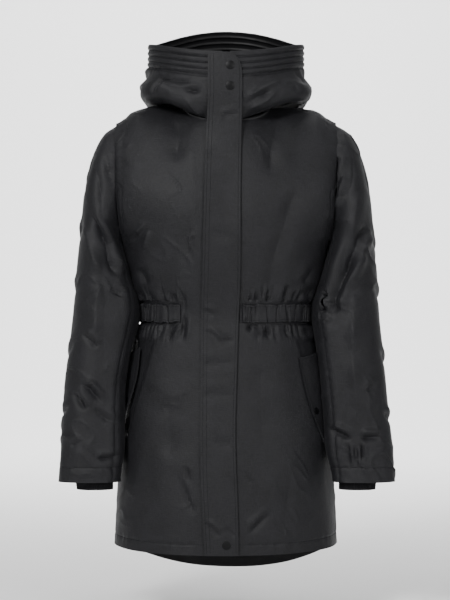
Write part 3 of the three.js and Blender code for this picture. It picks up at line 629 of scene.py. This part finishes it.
sewn, borders, meeting, common = {}, {}, {}, {}
for node in FAMILY:
    place, out, close = nearest_other(node, [n for n in FAMILY if n != node])
    sewn[node] = rims[node][close]
    meeting[node] = ((place - rims[node]) / 2)[close]
    common[node] = unit((out + rim_facing[node])[close])
    _, _, close = nearest_other(node, [n for n in FAMILY if FAMILY[n] != FAMILY[node]])
    borders[node] = rims[node][close]
all_borders = tree_of(np.concatenate([borders[n] for n in FAMILY]))
print("sewn rim points:", {n: len(p) for n, p in sewn.items()})

# %% Lay the drape into every panel
ROWS = {"trunk": TRUNK_CREASES + WAIST_GATHERS, "right arm": RIGHT_SLEEVE_CREASES,
        "left arm": LEFT_SLEEVE_CREASES, "hood": HOOD_CREASES}
ASIDE, UP = (1, 0, 0), (0, 0, 1)
BELT_HALF = 23


def shared_swell(points, strength):
    broad = cloud(points * [1, 1, 0.38], 58, 3) * 1.9
    middle = cloud(points * [1, 1, 0.7], 32, 5) * 0.55
    return (broad + middle) * strength


def drag_lines(points, strength):
    across = points[:, 0] * 0.8 + points[:, 1] * 0.5 + points[:, 2] * 0.62
    skewed = np.stack([across, points[:, 2] * 0.35 - points[:, 0] * 0.3, points[:, 1] * 0.4], 1)
    ridged = 1 - np.abs(cloud(skewed, 17, 11)) * 2.2
    patchy = ease(-0.1, 0.7, cloud(points, 60, 13))
    return np.clip(ridged, 0, 1) ** 2 * patchy * strength


def covered(node, points, facing):
    """1 where another piece lies on the panel, 0 in the open."""
    if node not in BODY:
        return np.zeros(len(points))
    x, z = points[:, 0], points[:, 2]
    belt = ease(BELT_HALF, BELT_HALF - 5, np.abs(z - WAIST))
    if node == "back":
        return belt
    if node == "front_right":
        belt = belt * ease(-70, -75, x)
        flap = ease(-62, -44, x)
    else:
        flap = ease(44, 26, x)
    front = ease(0.0, 0.2, -facing[:, 1])
    pocket_lean = np.abs(x) - (150 - 0.28 * (z + 390))
    pocket = ease(-34, -26, pocket_lean) * ease(-562, -552, z) * ease(-385, -395, z) * front
    return np.maximum(np.maximum(belt, flap * front), pocket)


def brim_edges(ahead, in_front):
    """Heights of the brim's lower and upper edge, by how far ahead or behind a point lies."""
    low = 75 + (np.where(in_front, 52, 110) - 75) * ahead
    high = 114 + (np.where(in_front, 93, 151) - 114) * ahead
    return low, high


def quilted(points):
    """Four bands puff out between the rows of stitching, drawn up in fine cross puckers."""
    in_front = points[:, 1] < 0
    x, y, z = points[:, 0] / 134, points[:, 1] / np.where(in_front, 97, 110), points[:, 2]
    low, high = brim_edges(y * y / (x * x + y * y + 1e-9), in_front)
    band = np.clip((z - low - 1.2) / (high - low), 0, 1) * 4
    from_row = np.abs(band - np.round(band)) * 10.5
    row = -1.2 * bell(from_row, 1.6) * ease(0.5, 0.8, band) * ease(3.6, 3.3, band)
    puff = 0.55 * np.sin(np.pi * np.clip(band % 1.0, 0, 1)) ** 0.7
    puckers = cloud(points * [1, 1, 0.3], 6.5, 31) * 0.35 * np.exp(-from_row / 3.5)
    return row + puff + puckers


def shoulder_lift(points):
    """The shoulders rise to the hood in one smooth line, and the hood's lower corners rest on them."""
    across, z = np.abs(points[:, 0]), points[:, 2]
    amount = 15 * ease(55, 115, across) * ease(190, 150, across) * ease(-115, -30, z) * ease(60, 15, z)
    return points + np.outer(amount, UP)


def fan(points, node):
    """Cloth drawn up by elastic stands in upright puffs with narrow valleys between them."""
    turn = np.arctan2(points[:, 1], points[:, 0]) * 155
    place = np.stack([turn, points[:, 2] * 0.13, np.zeros(len(points))], 1)
    value = cloud(place, 9.5, 61) + 0.45 * cloud(place, 5.0, 62)
    valley = np.clip(1 - np.abs(value) * 2.6, 0, 1) ** 1.4
    puffs = 0.5 - 1.9 * valley
    if node.startswith("casing"):
        return puffs * 1.25
    reach = 15 + 9 * cloud(place, 24, 63)
    off = np.maximum(np.abs(points[:, 2] - WAIST) - BELT_HALF, 0)
    beside_flap = {"front_right": (-62, -76), "front_left": (18, 30)}.get(node)
    span = ease(*beside_flap, points[:, 0]) if beside_flap else 1.0
    return puffs * 1.1 * np.exp(-(off / reach) ** 1.5) * span


def fullness(points, facing, family):
    """The padded sleeves swell, most of all where they rest against the body."""
    z = points[:, 2]
    if family == "trunk":
        return 4.5 * ease(0.4, 0.95, np.abs(facing[:, 0])) * ease(-215, -250, z) * ease(-640, -560, z)
    if family == "hood":
        return np.zeros(len(points))
    inward = -facing[:, 0] * np.sign(points[:, 0])
    at_waist = 4.0 * bell(z + 336, 34.0)
    return 1.5 + (8.0 + at_waist) * ease(0.2, 0.85, inward) * ease(-205, -270, z) * ease(-625, -560, z)


STRENGTH = {"trunk": (1.7, 1.5), "right arm": (1.5, 2.8), "left arm": (1.5, 2.8), "hood": (1.4, 3.0)}
DEPTH = {"trunk": 2.4, "right arm": 2.8, "left arm": 2.8, "hood": 2.0, "flap": 1.7}
HEM_TURN, CUFF_TURN, NO_TURN = 18.0, 25.0, 500.0
for node, family in FAMILY.items():
    points, facing, rim = shape_of[node]
    seams = tree_of(sewn[node])
    seam_index, seam_far = nearest(seams, points)
    loose_rim = rims[node][nearest(seams, rims[node])[1] > 6.0]
    hem_far = nearest(tree_of(loose_rim), points)[1] if len(loose_rim) and node != "brim" else seam_far + 99
    seam_points = sewn[node][seam_index] + meeting[node][seam_index]
    hold = bell(seam_far, 7.0)[:, None]
    points = points + meeting[node][seam_index] * hold
    facing = unit(facing * (1 - hold) + common[node][seam_index] * hold)
    border_far = nearest(all_borders, points)[1]
    if family.endswith("arm"):
        outer_side = np.sign(points[:, 0])
        tuck = bell(border_far, 7.0) * ease(-300, -240, points[:, 2])
        points = points - np.outer(outer_side * (3.2 + 4.5 * ease(-85, -45, points[:, 2])) * tuck, ASIDE)
        points = points - facing * (0.7 * bell(border_far, 3.0))[:, None]
        head_tuck = ease(208, 190, np.abs(points[:, 0])) * ease(-95, -55, points[:, 2])
        points = points - np.outer(outer_side * 7.0 * head_tuck, ASIDE) - np.outer(1.2 * head_tuck, UP)
    inland = ease(2, 26, border_far)
    swell, drag = (0.4, 0.0) if node == "brim" else STRENGTH[family]
    amount = (shared_swell(points, swell) + drag_lines(points, drag)) * inland
    amount += fullness(points, facing, family) * ease(0, 20, border_far)
    if node == "brim":
        amount += quilted(points)
    else:
        amount += crease_depth(points, facing, ROWS[family], DEPTH[family]) * ease(0, 12, border_far)
    if family == "trunk":
        amount += fan(points, node)
    turn_far = np.abs(hem_far - {"trunk": HEM_TURN, "hood": NO_TURN}.get(family, CUFF_TURN))
    groove = -1.0 * bell(seam_far, 2.6) + 0.5 * bell(seam_far - 7.5, 4.5) - 0.8 * bell(turn_far, 2.2)
    pucker = (cloud(seam_points, 7.5, 21) - 0.25) * np.exp(-seam_far / 8.0) * 0.9
    pucker += (cloud(points * [1, 1, 0.25], 7.0, 23) - 0.1) * np.exp(-turn_far / 7.0) * 1.1
    hidden = covered(node, points, facing)
    amount = amount * (1 - hidden) + hidden * (shared_swell(points, swell) * inland - 0.35)
    amount += (groove + pucker) * (1 - hidden)
    write_points(panels[node].data, shoulder_lift(points + facing * amount[:, None]))
    print(node, "moved between", round(float(amount.min()), 1), "and", round(float(amount.max()), 1), "mm")

# %% The pieces that lie on the panels ride the same broad swell
OPEN_END = {"casing_right": (-76, -88), "casing_left": (24, 36)}
for node in ON_TOP:
    points, facing, rim = shape_of[node]
    amount = shared_swell(points, STRENGTH["trunk"][0])
    if node == "placket":
        amount *= ease(60, 20, points[:, 2])
        amount += np.maximum(crease_depth(points, facing, FLAP_CREASES, DEPTH["flap"]), -1.3) + 0.9
    elif node.startswith("pocket"):
        amount += fullness(points, facing, "trunk")
    else:
        inside = ease(*OPEN_END[node], points[:, 0]) if node in OPEN_END else 1.0
        amount += fan(points, node) + 1.6 - 3.6 * (1 - inside)
        to_edge = np.where(points[:, 2] > WAIST, 1.0, -1.0)
        points = points + np.outer(to_edge * cloud(points, 6.5, 65) * 2.2, UP)
    write_points(panels[node].data, points + facing * amount[:, None])

# %% [markdown]
# ## Stitching
# Topstitching is a lockstitch: each stitch is a short round of thread, 2.4 mm long, pulled a little into
# the cloth, with a gap before the next. One stitch is modelled and copied along every row, because a row
# of real bumps catches light as sewing does. Rows follow the finished edges, a few millimetres in, and
# at the hem and the cuffs the upper edge of the turned-up cloth.

# %% One stitch
def take_shape(piece):
    """Points and faces of a small shape, so that it can be copied many times."""
    shape = read_points(piece.data), [tuple(p.vertices) for p in piece.data.polygons]
    bpy.data.objects.remove(piece)
    return shape


bpy.ops.mesh.primitive_cylinder_add(vertices=6, radius=0.5, depth=1.0)
stitch = bpy.context.object
stitch.name = "one_stitch"
open_mesh(stitch)
bpy.ops.transform.rotate(value=math.radians(90), orient_axis="Y", center_override=(0, 0, 0))
bpy.ops.transform.resize(value=(2.4 * MM, 0.7 * MM, 0.5 * MM))
close_mesh()
ONE_STITCH, ONE_STITCH_FACES = take_shape(stitch)
print("faces of one stitch:", len(ONE_STITCH_FACES))


# %% Copy a small shape along a path
GAP_IN_PATH = 9.0


def resample(path, spacing):
    path = np.asarray(path, float)
    gone = np.concatenate([[0], np.cumsum(np.linalg.norm(np.diff(path, axis=0), axis=1))])
    at = np.arange(spacing / 2, gone[-1], spacing)
    return np.stack([np.interp(at, gone, path[:, i]) for i in range(3)], 1)


def mesh_piece(name, points, faces, material):
    mesh = bpy.data.meshes.new(name)
    mesh.from_pydata((np.asarray(points) * MM).tolist(), [], faces)
    mesh.materials.append(material)
    piece = bpy.data.objects.new(name, mesh)
    bpy.context.scene.collection.objects.link(piece)
    return piece


def dress(piece, node=None):
    """Every piece rides on the one body, and a piece may stand for the solid of a node."""
    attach(piece, "root")
    if node:
        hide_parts(node)


def row_of(shape, shape_faces, places, outs, lift, points, faces):
    """Copies of a shape along places, turned to the path and the cloth, none across a gap in the path."""
    ahead = np.gradient(places, axis=0) if len(places) > 1 else np.zeros_like(places)
    for i, (place, out) in enumerate(zip(places, outs)):
        if i + 1 < len(places) and np.linalg.norm(places[i + 1] - place) > GAP_IN_PATH:
            continue
        along = ahead[i] - out * ahead[i].dot(out)
        size = np.linalg.norm(along)
        if size < 1e-6:
            continue
        along = along / size
        turn = np.stack([along, np.cross(out, along), out], 1)
        start = sum(len(p) for p in points)
        points.append(shape @ turn.T + place + out * lift)
        faces.extend([tuple(start + v for v in f) for f in shape_faces])


# %% Where the finished cloth is
def cloth_tree(nodes, face=OUTSIDE):
    corners, faces = [], []
    for node in nodes:
        mesh = panels[node].data
        start = len(corners)
        corners.extend(read_points(mesh).tolist())
        kept = [p for p in mesh.polygons if p.material_index == face]
        faces.extend([tuple(start + v for v in p.vertices) for p in kept])
    return BVHTree.FromPolygons(corners, faces)


def settle(tree, path, spacing, reach):
    places, outs = [], []
    for p in resample(path, spacing):
        place, out, _, _ = tree.find_nearest(Vector(p), reach)
        if place is not None:
            places.append(np.array(place))
            outs.append(np.array(out))
    return np.array(places), np.array(outs)


def outer_rim(node):
    return read_points(panels[node].data)[shape_of[node][2] == OUTER_RIM]


def edge_by_angle(points, centre, pick, bins, move):
    """The lowest or highest rim point in each direction round a centre, moved up or down."""
    angle = np.arctan2(points[:, 1] - centre[1], points[:, 0] - centre[0])
    slot = ((angle + np.pi) / (2 * np.pi) * bins).astype(int) % bins
    path = []
    for k in range(bins):
        here = points[slot == k]
        if len(here):
            best = here[np.argmin(here[:, 2])] if pick == "low" else here[np.argmax(here[:, 2])]
            path.append(best + [0, 0, move])
    return np.array(path)


# %% Rows of topstitching
thread, thread_tree, thread_shader = new_material("core-spun polyester thread", {
    "Base Color": linear("#0c0c0e"), "Roughness": 0.75, "Specular IOR Level": 0.1})
twist = add_node(thread_tree, "ShaderNodeTexWave", {"Scale": 1400.0, "bands_direction": "DIAGONAL"},
                 {"Vector": object_place(thread_tree)})
twist_bump = add_node(thread_tree, "ShaderNodeBump", {"Strength": 0.3, "Distance": 0.0001},
                      {"Height": twist.outputs["Fac"]})
thread_tree.links.new(twist_bump.outputs["Normal"], thread_shader.inputs["Normal"])
stitching = {}


def sew(name, tree, path, spacing=3.3, reach=14.0):
    points, faces = stitching.setdefault(name, ([], []))
    places, outs = settle(tree, path, spacing, reach)
    if len(places) > 2:
        row_of(ONE_STITCH, ONE_STITCH_FACES, places, outs, -0.05, points, faces)


def closed(path):
    return np.vstack([path, path[:1]])


body_rims = np.concatenate([outer_rim(n) for n in BODY])
hem_line = edge_by_angle(body_rims[body_rims[:, 2] < -690], (0, 0), "low", 300, HEM_TURN)
sew("hem_stitching", cloth_tree(BODY), closed(hem_line))
for side, word in ((-1, "right"), (1, "left")):
    nodes = [f"sleeve_upper_{word}", f"sleeve_under_{word}"]
    ends = np.concatenate([outer_rim(n) for n in nodes])
    cuff_line = edge_by_angle(ends[ends[:, 2] < -618], (side * 230, -77), "low", 100, CUFF_TURN)
    sew("cuff_stitching", cloth_tree(nodes), closed(cuff_line), 3.0)
for node in ON_TOP[1:4]:
    tree = cloth_tree([node])
    for pick, move in (("low", 3.2), ("high", -3.2)):
        line = edge_by_angle(outer_rim(node), (0, 0), pick, 360, move)
        sew("casing_stitching", tree, line[np.argsort(line[:, 0])], 3.0)
for node in ON_TOP[4:]:
    edge = outer_rim(node)
    middle = edge.mean(0)
    across = (edge - middle)[:, :2] @ np.array([0.55 * np.sign(middle[0]), 0.84]) * 2.6
    edge = edge[np.argsort(np.arctan2(edge[:, 2] - middle[2], across))]
    inward = (middle - edge) * [1, 1, 0.35]
    edge = edge + unit(inward) * 4.0
    overlapped = np.vstack([edge[-3:], edge, edge[:3]])
    edge = np.stack([np.convolve(overlapped[:, i], np.ones(7) / 7, "valid") for i in range(3)], 1)
    sew("pocket_stitching", cloth_tree([node]), closed(edge))
flap_rim = outer_rim("placket")
flap_rim = flap_rim[np.argsort(flap_rim[:, 2])]
rim_levels = np.unique(np.round(flap_rim[:, 2] / 8)) * 8
near_level = [flap_rim[np.abs(flap_rim[:, 2] - z) < 8][:, 0] for z in rim_levels]
levels = np.arange(flap_rim[0, 2] + 4, flap_rim[-1, 2] - 4, 5.0)
stitched = np.interp(levels, rim_levels, [x.min() for x in near_level])
free = np.interp(levels, rim_levels, [x.max() for x in near_level])
flap_tree = cloth_tree(["placket"])
for edge, move in ((stitched, 4.0), (stitched, 10.0), (free, -4.0)):
    line = []
    for x, z in zip(edge + move, levels):
        hit = flap_tree.ray_cast(Vector((x, -260, z)), Vector((0, 1, 0)), 300)
        if hit[0] is not None:
            line.append(list(hit[0]))
    sew("flap_stitching", flap_tree, line)
print("rows of stitches:", {n: len(p[0]) for n, p in stitching.items()})


# %% Rows that quilt the brim, outside and inside
def brim_ring(s):
    """A line round the brim, s of the way from its lower to its upper edge."""
    ring = []
    for angle in np.linspace(-math.pi, math.pi, 200):
        ahead = math.cos(angle)
        y = (-97 + 2 * s) * ahead if ahead > 0 else (118 - 18 * s) * -ahead
        low, high = brim_edges(ahead * ahead, ahead > 0)
        ring.append([134 * math.sin(angle), y, low + (high - low) * s + 1.2])
    return np.array(ring)


for face, scale in ((OUTSIDE, [1, 1, 1]), (INSIDE, [0.97, 0.97, 1])):
    tree = cloth_tree(["brim"], face)
    for s in (0.25, 0.5, 0.75):
        sew("quilting", tree, brim_ring(s) * scale, 3.6, 10.0)
sew("quilting", cloth_tree(HOOD[:2]), brim_ring(-0.09), 3.3, 10.0)
for name, (points, faces) in stitching.items():
    dress(mesh_piece(name, np.concatenate(points), faces, thread))
    print(name, "stitches:", len(points))

# %% [markdown]
# ## Bound seams
# Inside an armhole and down a sleeve the raw edges of both cloths lie together under a narrow binding.
# It closes the seam from behind, so nothing shines through where the edges part a little. It is a flat
# strip 12 mm wide that follows the sewn edge, just under the outer cloth.

# %% Binding along a sewn edge
BINDING_STEP = 6


def bind(name, path, outs):
    for turn in range(2):
        path = np.vstack([path[:1], (path[:-2] + path[1:-1] * 2 + path[2:]) / 4, path[-1:]])
    along = np.gradient(path, axis=0)
    along /= np.linalg.norm(along, axis=1)[:, None] + 1e-9
    outs = outs - along * (outs * along).sum(1)[:, None]
    outs /= np.linalg.norm(outs, axis=1)[:, None] + 1e-9
    side = np.cross(along, outs)
    rings = [path + side * w - outs * d for w, d in ((-6, 1.3), (6, 1.3), (6, 1.9), (-6, 1.9))]
    count = len(path)
    corners = np.concatenate(rings)
    faces = [(k * count + i, k * count + i + 1, (k + 1) % 4 * count + i + 1, (k + 1) % 4 * count + i)
             for k in range(4) for i in range(count - 1)]
    faces += [(0, count, 2 * count, 3 * count), (4 * count - 1, 3 * count - 1, 2 * count - 1, count - 1)]
    piece = mesh_piece(name, corners, faces, shell_cloth)
    open_mesh(piece)
    bpy.ops.mesh.normals_make_consistent(inside=False)
    close_mesh()
    dress(piece)
    length = np.linalg.norm(np.diff(path, axis=0), axis=1).sum() * MM
    return length


def edge_run(nodes, keep, order):
    """Outer edge points of some panels, kept by one rule, put in order and thinned to a few mm apart."""
    places = np.concatenate([read_points(panels[n].data)[shape_of[n][2] == OUTER_RIM] for n in nodes])
    outs = np.concatenate([shape_of[n][1][shape_of[n][2] == OUTER_RIM] for n in nodes])
    chosen = keep(places)
    places, outs = places[chosen], outs[chosen]
    slots = np.round(order(places) / BINDING_STEP)
    runs = [slots == k for k in np.unique(slots)]
    return np.array([places[r].mean(0) for r in runs]), np.array([outs[r].mean(0) for r in runs])


for side, word in ((-1, "right"), (1, "left")):
    arm_nodes = [f"sleeve_upper_{word}", f"sleeve_under_{word}"]
    arm_edges = tree_of(np.concatenate([read_points(panels[n].data)[shape_of[n][2] > 0] for n in arm_nodes]))
    path, outs = edge_run(
        [f"front_{word}", "back"],
        lambda p: (p[:, 0] * side > 120) & (p[:, 2] > -240) & (nearest(arm_edges, p)[1] < 15),
        lambda p: np.arctan2(p[:, 2] + 140, p[:, 1]) * 90)
    armhole_length = bind(f"armhole_binding_{word}", path, outs)
    path, outs = edge_run(
        arm_nodes[1:],
        lambda p: (p[:, 2] < -165) & (p[:, 2] > -560)
        & (p[:, 1] > np.interp(-p[:, 2], [165, 640], [-2, -77])),
        lambda p: p[:, 2])
    sleeve_length = bind(f"sleeve_binding_{word}", path, outs)
    print(word, "bindings in metres:", round(armhole_length, 3), round(sleeve_length, 3))

# %% [markdown]
# ## Press snaps
# Each snap is a turned brass cap pressed over the cloth and coated dark. It is a low disc with a rounded
# edge, half sunk in the cloth. One cap is shaped from a cylinder by a bevel, then copied to its five
# places, where it beds onto the finished cloth. The two on the pocket flaps are smaller.

# %% One snap cap
CAP_RADIUS = 7.5
bpy.ops.mesh.primitive_cylinder_add(vertices=40, radius=CAP_RADIUS * MM, depth=1.8 * MM)
cap = bpy.context.object
open_mesh(cap)
bpy.ops.mesh.bevel(offset=0.22 * MM, segments=2, affect="EDGES")
bpy.ops.mesh.normals_make_consistent(inside=False)
close_mesh()
CAP, CAP_FACES = take_shape(cap)
print("faces of one cap:", len(CAP_FACES))

# %% The dark coating
coating, coating_tree, coating_shader = new_material("black nickel plated brass", {
    "Base Color": linear("#08080a"), "Metallic": 0.2, "Specular IOR Level": 0.22})
rub = add_node(coating_tree, "ShaderNodeTexNoise", {"Scale": 700.0, "Detail": 3.0},
               {"Vector": object_place(coating_tree)})
rub_gloss = add_node(coating_tree, "ShaderNodeMapRange", {"To Min": 0.34, "To Max": 0.5},
                     {"Value": rub.outputs["Fac"]})
coating_tree.links.new(rub_gloss.outputs["Result"], coating_shader.inputs["Roughness"])

# %% Copies bedded onto the cloth
CARRIER = {"snap_top": "placket", "snap_neck": "placket", "snap_hem": "placket",
           "snap_pocket_right": "pocket_flap_right", "snap_pocket_left": "pocket_flap_left"}
for node, carrier in CARRIER.items():
    low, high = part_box(node)
    place, out, _, _ = cloth_tree([carrier]).find_nearest((low + high) * 500, 30)
    out = np.array(out)
    side = np.cross(out, [0, 0, 1.0])
    side /= np.linalg.norm(side)
    turn = np.stack([side, np.cross(out, side), out], 1)
    narrow = 0.8 if "pocket" in node else 1.0
    points = (CAP * [narrow, narrow, 1.0]) @ turn.T + np.array(place) - out * 0.25
    piece = mesh_piece(node + "_cap", points, CAP_FACES, coating)
    select_only(piece)
    bpy.ops.object.shade_smooth_by_angle(angle=math.radians(40))
    dress(piece, node)
print("snap caps placed:", len(CARRIER))

# %% [markdown]
# ## Storm cuffs
# A tube of rib knit inside each sleeve end closes round the wrist. Rib knit stands in columns about
# 3 mm apart, with small stitches up each column. The hollows between the columns are painted darker and
# the columns lighter, a painted shade and highlight. The columns run along the tube, so the pattern reads
# a UV map with the turn round the tube in it.

# %% Rib knit
RIBS_ROUND, COURSE_MM = 78, 1.6
ONE_BAND = 0.314
rib, rib_tree, rib_shader = new_material("acrylic rib knit", {"Roughness": 0.85, "Specular IOR Level": 0.2})
knit_map = add_node(rib_tree, "ShaderNodeUVMap", {"uv_map": "knit"}).outputs["UV"]
columns = add_node(rib_tree, "ShaderNodeTexWave", {"bands_direction": "X", "Scale": ONE_BAND * RIBS_ROUND},
                   {"Vector": knit_map})
courses = add_node(rib_tree, "ShaderNodeTexWave",
                   {"bands_direction": "Y", "Scale": ONE_BAND / COURSE_MM, "Distortion": 1.5},
                   {"Vector": knit_map})
knit_height = add_node(rib_tree, "ShaderNodeMath", {"operation": "MULTIPLY_ADD", 1: 0.3},
                       {0: courses.outputs["Fac"], 2: columns.outputs["Fac"]})
# Painted shade between the rib columns and painted light on them, following the columns' height.
knit_shade_colour = add_node(rib_tree, "ShaderNodeValToRGB", {}, {"Fac": columns.outputs["Fac"]})
for stop, shade in zip(knit_shade_colour.color_ramp.elements, ("#08080a", "#17171a")):
    stop.color = linear(shade)
knit_bump = add_node(rib_tree, "ShaderNodeBump", {"Strength": 0.9, "Distance": 0.0009},
                     {"Height": knit_height.outputs[0]})
rib_tree.links.new(knit_shade_colour.outputs["Color"], rib_shader.inputs["Base Color"])
rib_tree.links.new(knit_bump.outputs["Normal"], rib_shader.inputs["Normal"])

# %% Smooth the cuffs and lay the knit round them
for side, word in ((-1, "right"), (1, "left")):
    node = f"storm_cuff_{word}"
    piece = panels[node] = copy_of(node, node + "_knit")
    sort_faces(piece, arm)
    smooth_panel(piece, 3)
    for slot in range(3):
        piece.data.materials[slot] = rib
    points, facing, rim = outward(piece)
    turn = np.arctan2(points[:, 1] + 76, points[:, 0] - side * 222)
    ribs = 0.35 * np.cos(turn * RIBS_ROUND) + 0.5 * cloud(points, 14, 41)
    write_points(piece.data, points + facing * ribs[:, None])
    layer = piece.data.uv_layers.new(name="knit")
    for p in piece.data.polygons:
        angles = [turn[v] for v in p.vertices]
        wrap = max(angles) - min(angles) > math.pi
        for loop, angle, v in zip(p.loop_indices, angles, p.vertices):
            if wrap and angle < 0:
                angle += 2 * math.pi
            layer.data[loop].uv = (angle / (2 * math.pi), points[v, 2])
    dress(piece, node)
print("storm cuffs knitted")

# %% [markdown]
# ## Zip
# The zip is shut and hidden by the flap. Its woven tape is a thin strip, and its nylon coil shows on the
# inside as two rows of small teeth that lock in turn. One tooth is modelled and copied up the tape.

# %% Tape and teeth
tape = panels["zip_tape"] = copy_of("zip_tape", "zip_tape_woven")
sort_faces(tape, trunk)
smooth_panel(tape, 2)
tape_points, tape_facing, _ = outward(tape)
write_points(tape.data, tape_points - tape_facing * 0.4)
dress(tape, "zip_tape")
bpy.ops.mesh.primitive_cube_add(size=1.0)
tooth = bpy.context.object
open_mesh(tooth)
bpy.ops.transform.resize(value=(1.3 * MM, 3.4 * MM, 1.1 * MM))
bpy.ops.mesh.bevel(offset=0.3 * MM, segments=1, affect="EDGES")
close_mesh()
TOOTH, TOOTH_FACES = take_shape(tooth)
tape_inside = cloth_tree(["zip_tape"], INSIDE)
zip_points, zip_faces = [], []
now = read_points(tape.data)
heights = np.unique(np.round(now[:, 2] / 3)) * 3
middles = np.array([now[np.abs(now[:, 2] - z) < 3].mean(0) for z in heights])
z = np.arange(heights[0] + 4, heights[-1] - 6, 6.0)
for hand in (-1, 1):
    line = np.stack([np.interp(z, heights, middles[:, 0]) + hand * 1.1, np.interp(z, heights, middles[:, 1]),
                     z + hand * 0.6], 1)
    places, outs = settle(tape_inside, line, 2.4, 12)
    row_of(TOOTH, TOOTH_FACES, places, outs, 0.2, zip_points, zip_faces)
dress(mesh_piece("zip_teeth", np.concatenate(zip_points), zip_faces, coating))
print("zip teeth:", len(zip_points))

# %% [markdown]
# ## Outer area and box of each finished panel
# A pattern cutter lays each piece flat. Printed here are the outer cloth's area of each finished panel
# and the size of its box as it stands, not laid flat. The elastic draws the casings in, so their cloth is
# cut about a fifth longer than the channel it fills.

# %% Areas of the finished cloth
for node, piece in panels.items():
    wall = sum(p.area for p in piece.data.polygons if p.material_index == OUTSIDE)
    size = piece.dimensions
    print(f"{node}: outer cloth {wall:.4f} m2, box {size.x:.3f} {size.y:.3f} {size.z:.3f}")

# %% Every panel rides on the one body and stands for its solid
for node in HEARTS:
    dress(panels[node], node)

# %% [markdown]
# ## Studio
# %% Floor, light and camera
floor_paint = new_material("matt white paint", {"Base Color": linear("#f2f2f2"), "Roughness": 0.9})[0]
FLOOR_HEIGHT, BEND_START, BEND_RADIUS = -0.86, 4.5, 2.5
sweep = [(-9.0, FLOOR_HEIGHT), (BEND_START, FLOOR_HEIGHT)]
for angle in np.linspace(0.1, math.pi / 2, 16):
    rise = BEND_RADIUS * (1 - math.cos(angle))
    sweep.append((BEND_START + BEND_RADIUS * math.sin(angle), FLOOR_HEIGHT + rise))
sweep.append((BEND_START + BEND_RADIUS, 8.0))
sweep_points = [(x * 1000, y * 1000, z * 1000) for y, z in sweep for x in (-9, 9)]
strips = [(i, i + 1, i + 3, i + 2) for i in range(0, 2 * len(sweep) - 2, 2)]
floor = mesh_piece("floor", sweep_points, strips, floor_paint)
select_only(floor)
bpy.ops.object.shade_smooth()

world = bpy.data.worlds.new("pale room")
bpy.context.scene.world = world
world.use_nodes = True
room = world.node_tree.nodes["Background"]
room.inputs["Color"].default_value = linear("#f4f4f4")
room.inputs["Strength"].default_value = 0.42


def soft_light(name, place, aim, size, power):
    lamp = bpy.data.lights.new(name, "AREA")
    lamp.shape = "DISK"
    lamp.size = size
    lamp.energy = power
    holder = bpy.data.objects.new(name, lamp)
    bpy.context.scene.collection.objects.link(holder)
    holder.location = place
    holder.rotation_euler = (Vector(aim) - Vector(place)).to_track_quat("-Z", "Y").to_euler()


soft_light("key", (-1.3, -2.7, 1.4), (0, 0, -0.3), 0.7, 92)
soft_light("fill", (1.6, -2.7, 0.5), (0, 0, -0.3), 0.8, 30)
soft_light("top", (0.2, 0.2, 2.1), (0, 0, -0.2), 1.0, 22)
soft_light("backdrop light", (0, 3.2, 3.4), (0, 7, 0.2), 3.5, 560)

FILM_HEIGHT, CAMERA_FAR, SEEN_HEIGHT = 24.0, 3.5, 1.032
camera_data = bpy.data.cameras.new("camera")
camera_data.sensor_fit = "VERTICAL"
camera_data.sensor_height = FILM_HEIGHT
camera_data.lens = FILM_HEIGHT * CAMERA_FAR / SEEN_HEIGHT
camera = bpy.data.objects.new("camera", camera_data)
bpy.context.scene.collection.objects.link(camera)
camera.location = (-0.0017, -CAMERA_FAR, -0.323)
camera.rotation_euler = (math.radians(90), 0, 0)
bpy.context.scene.camera = camera
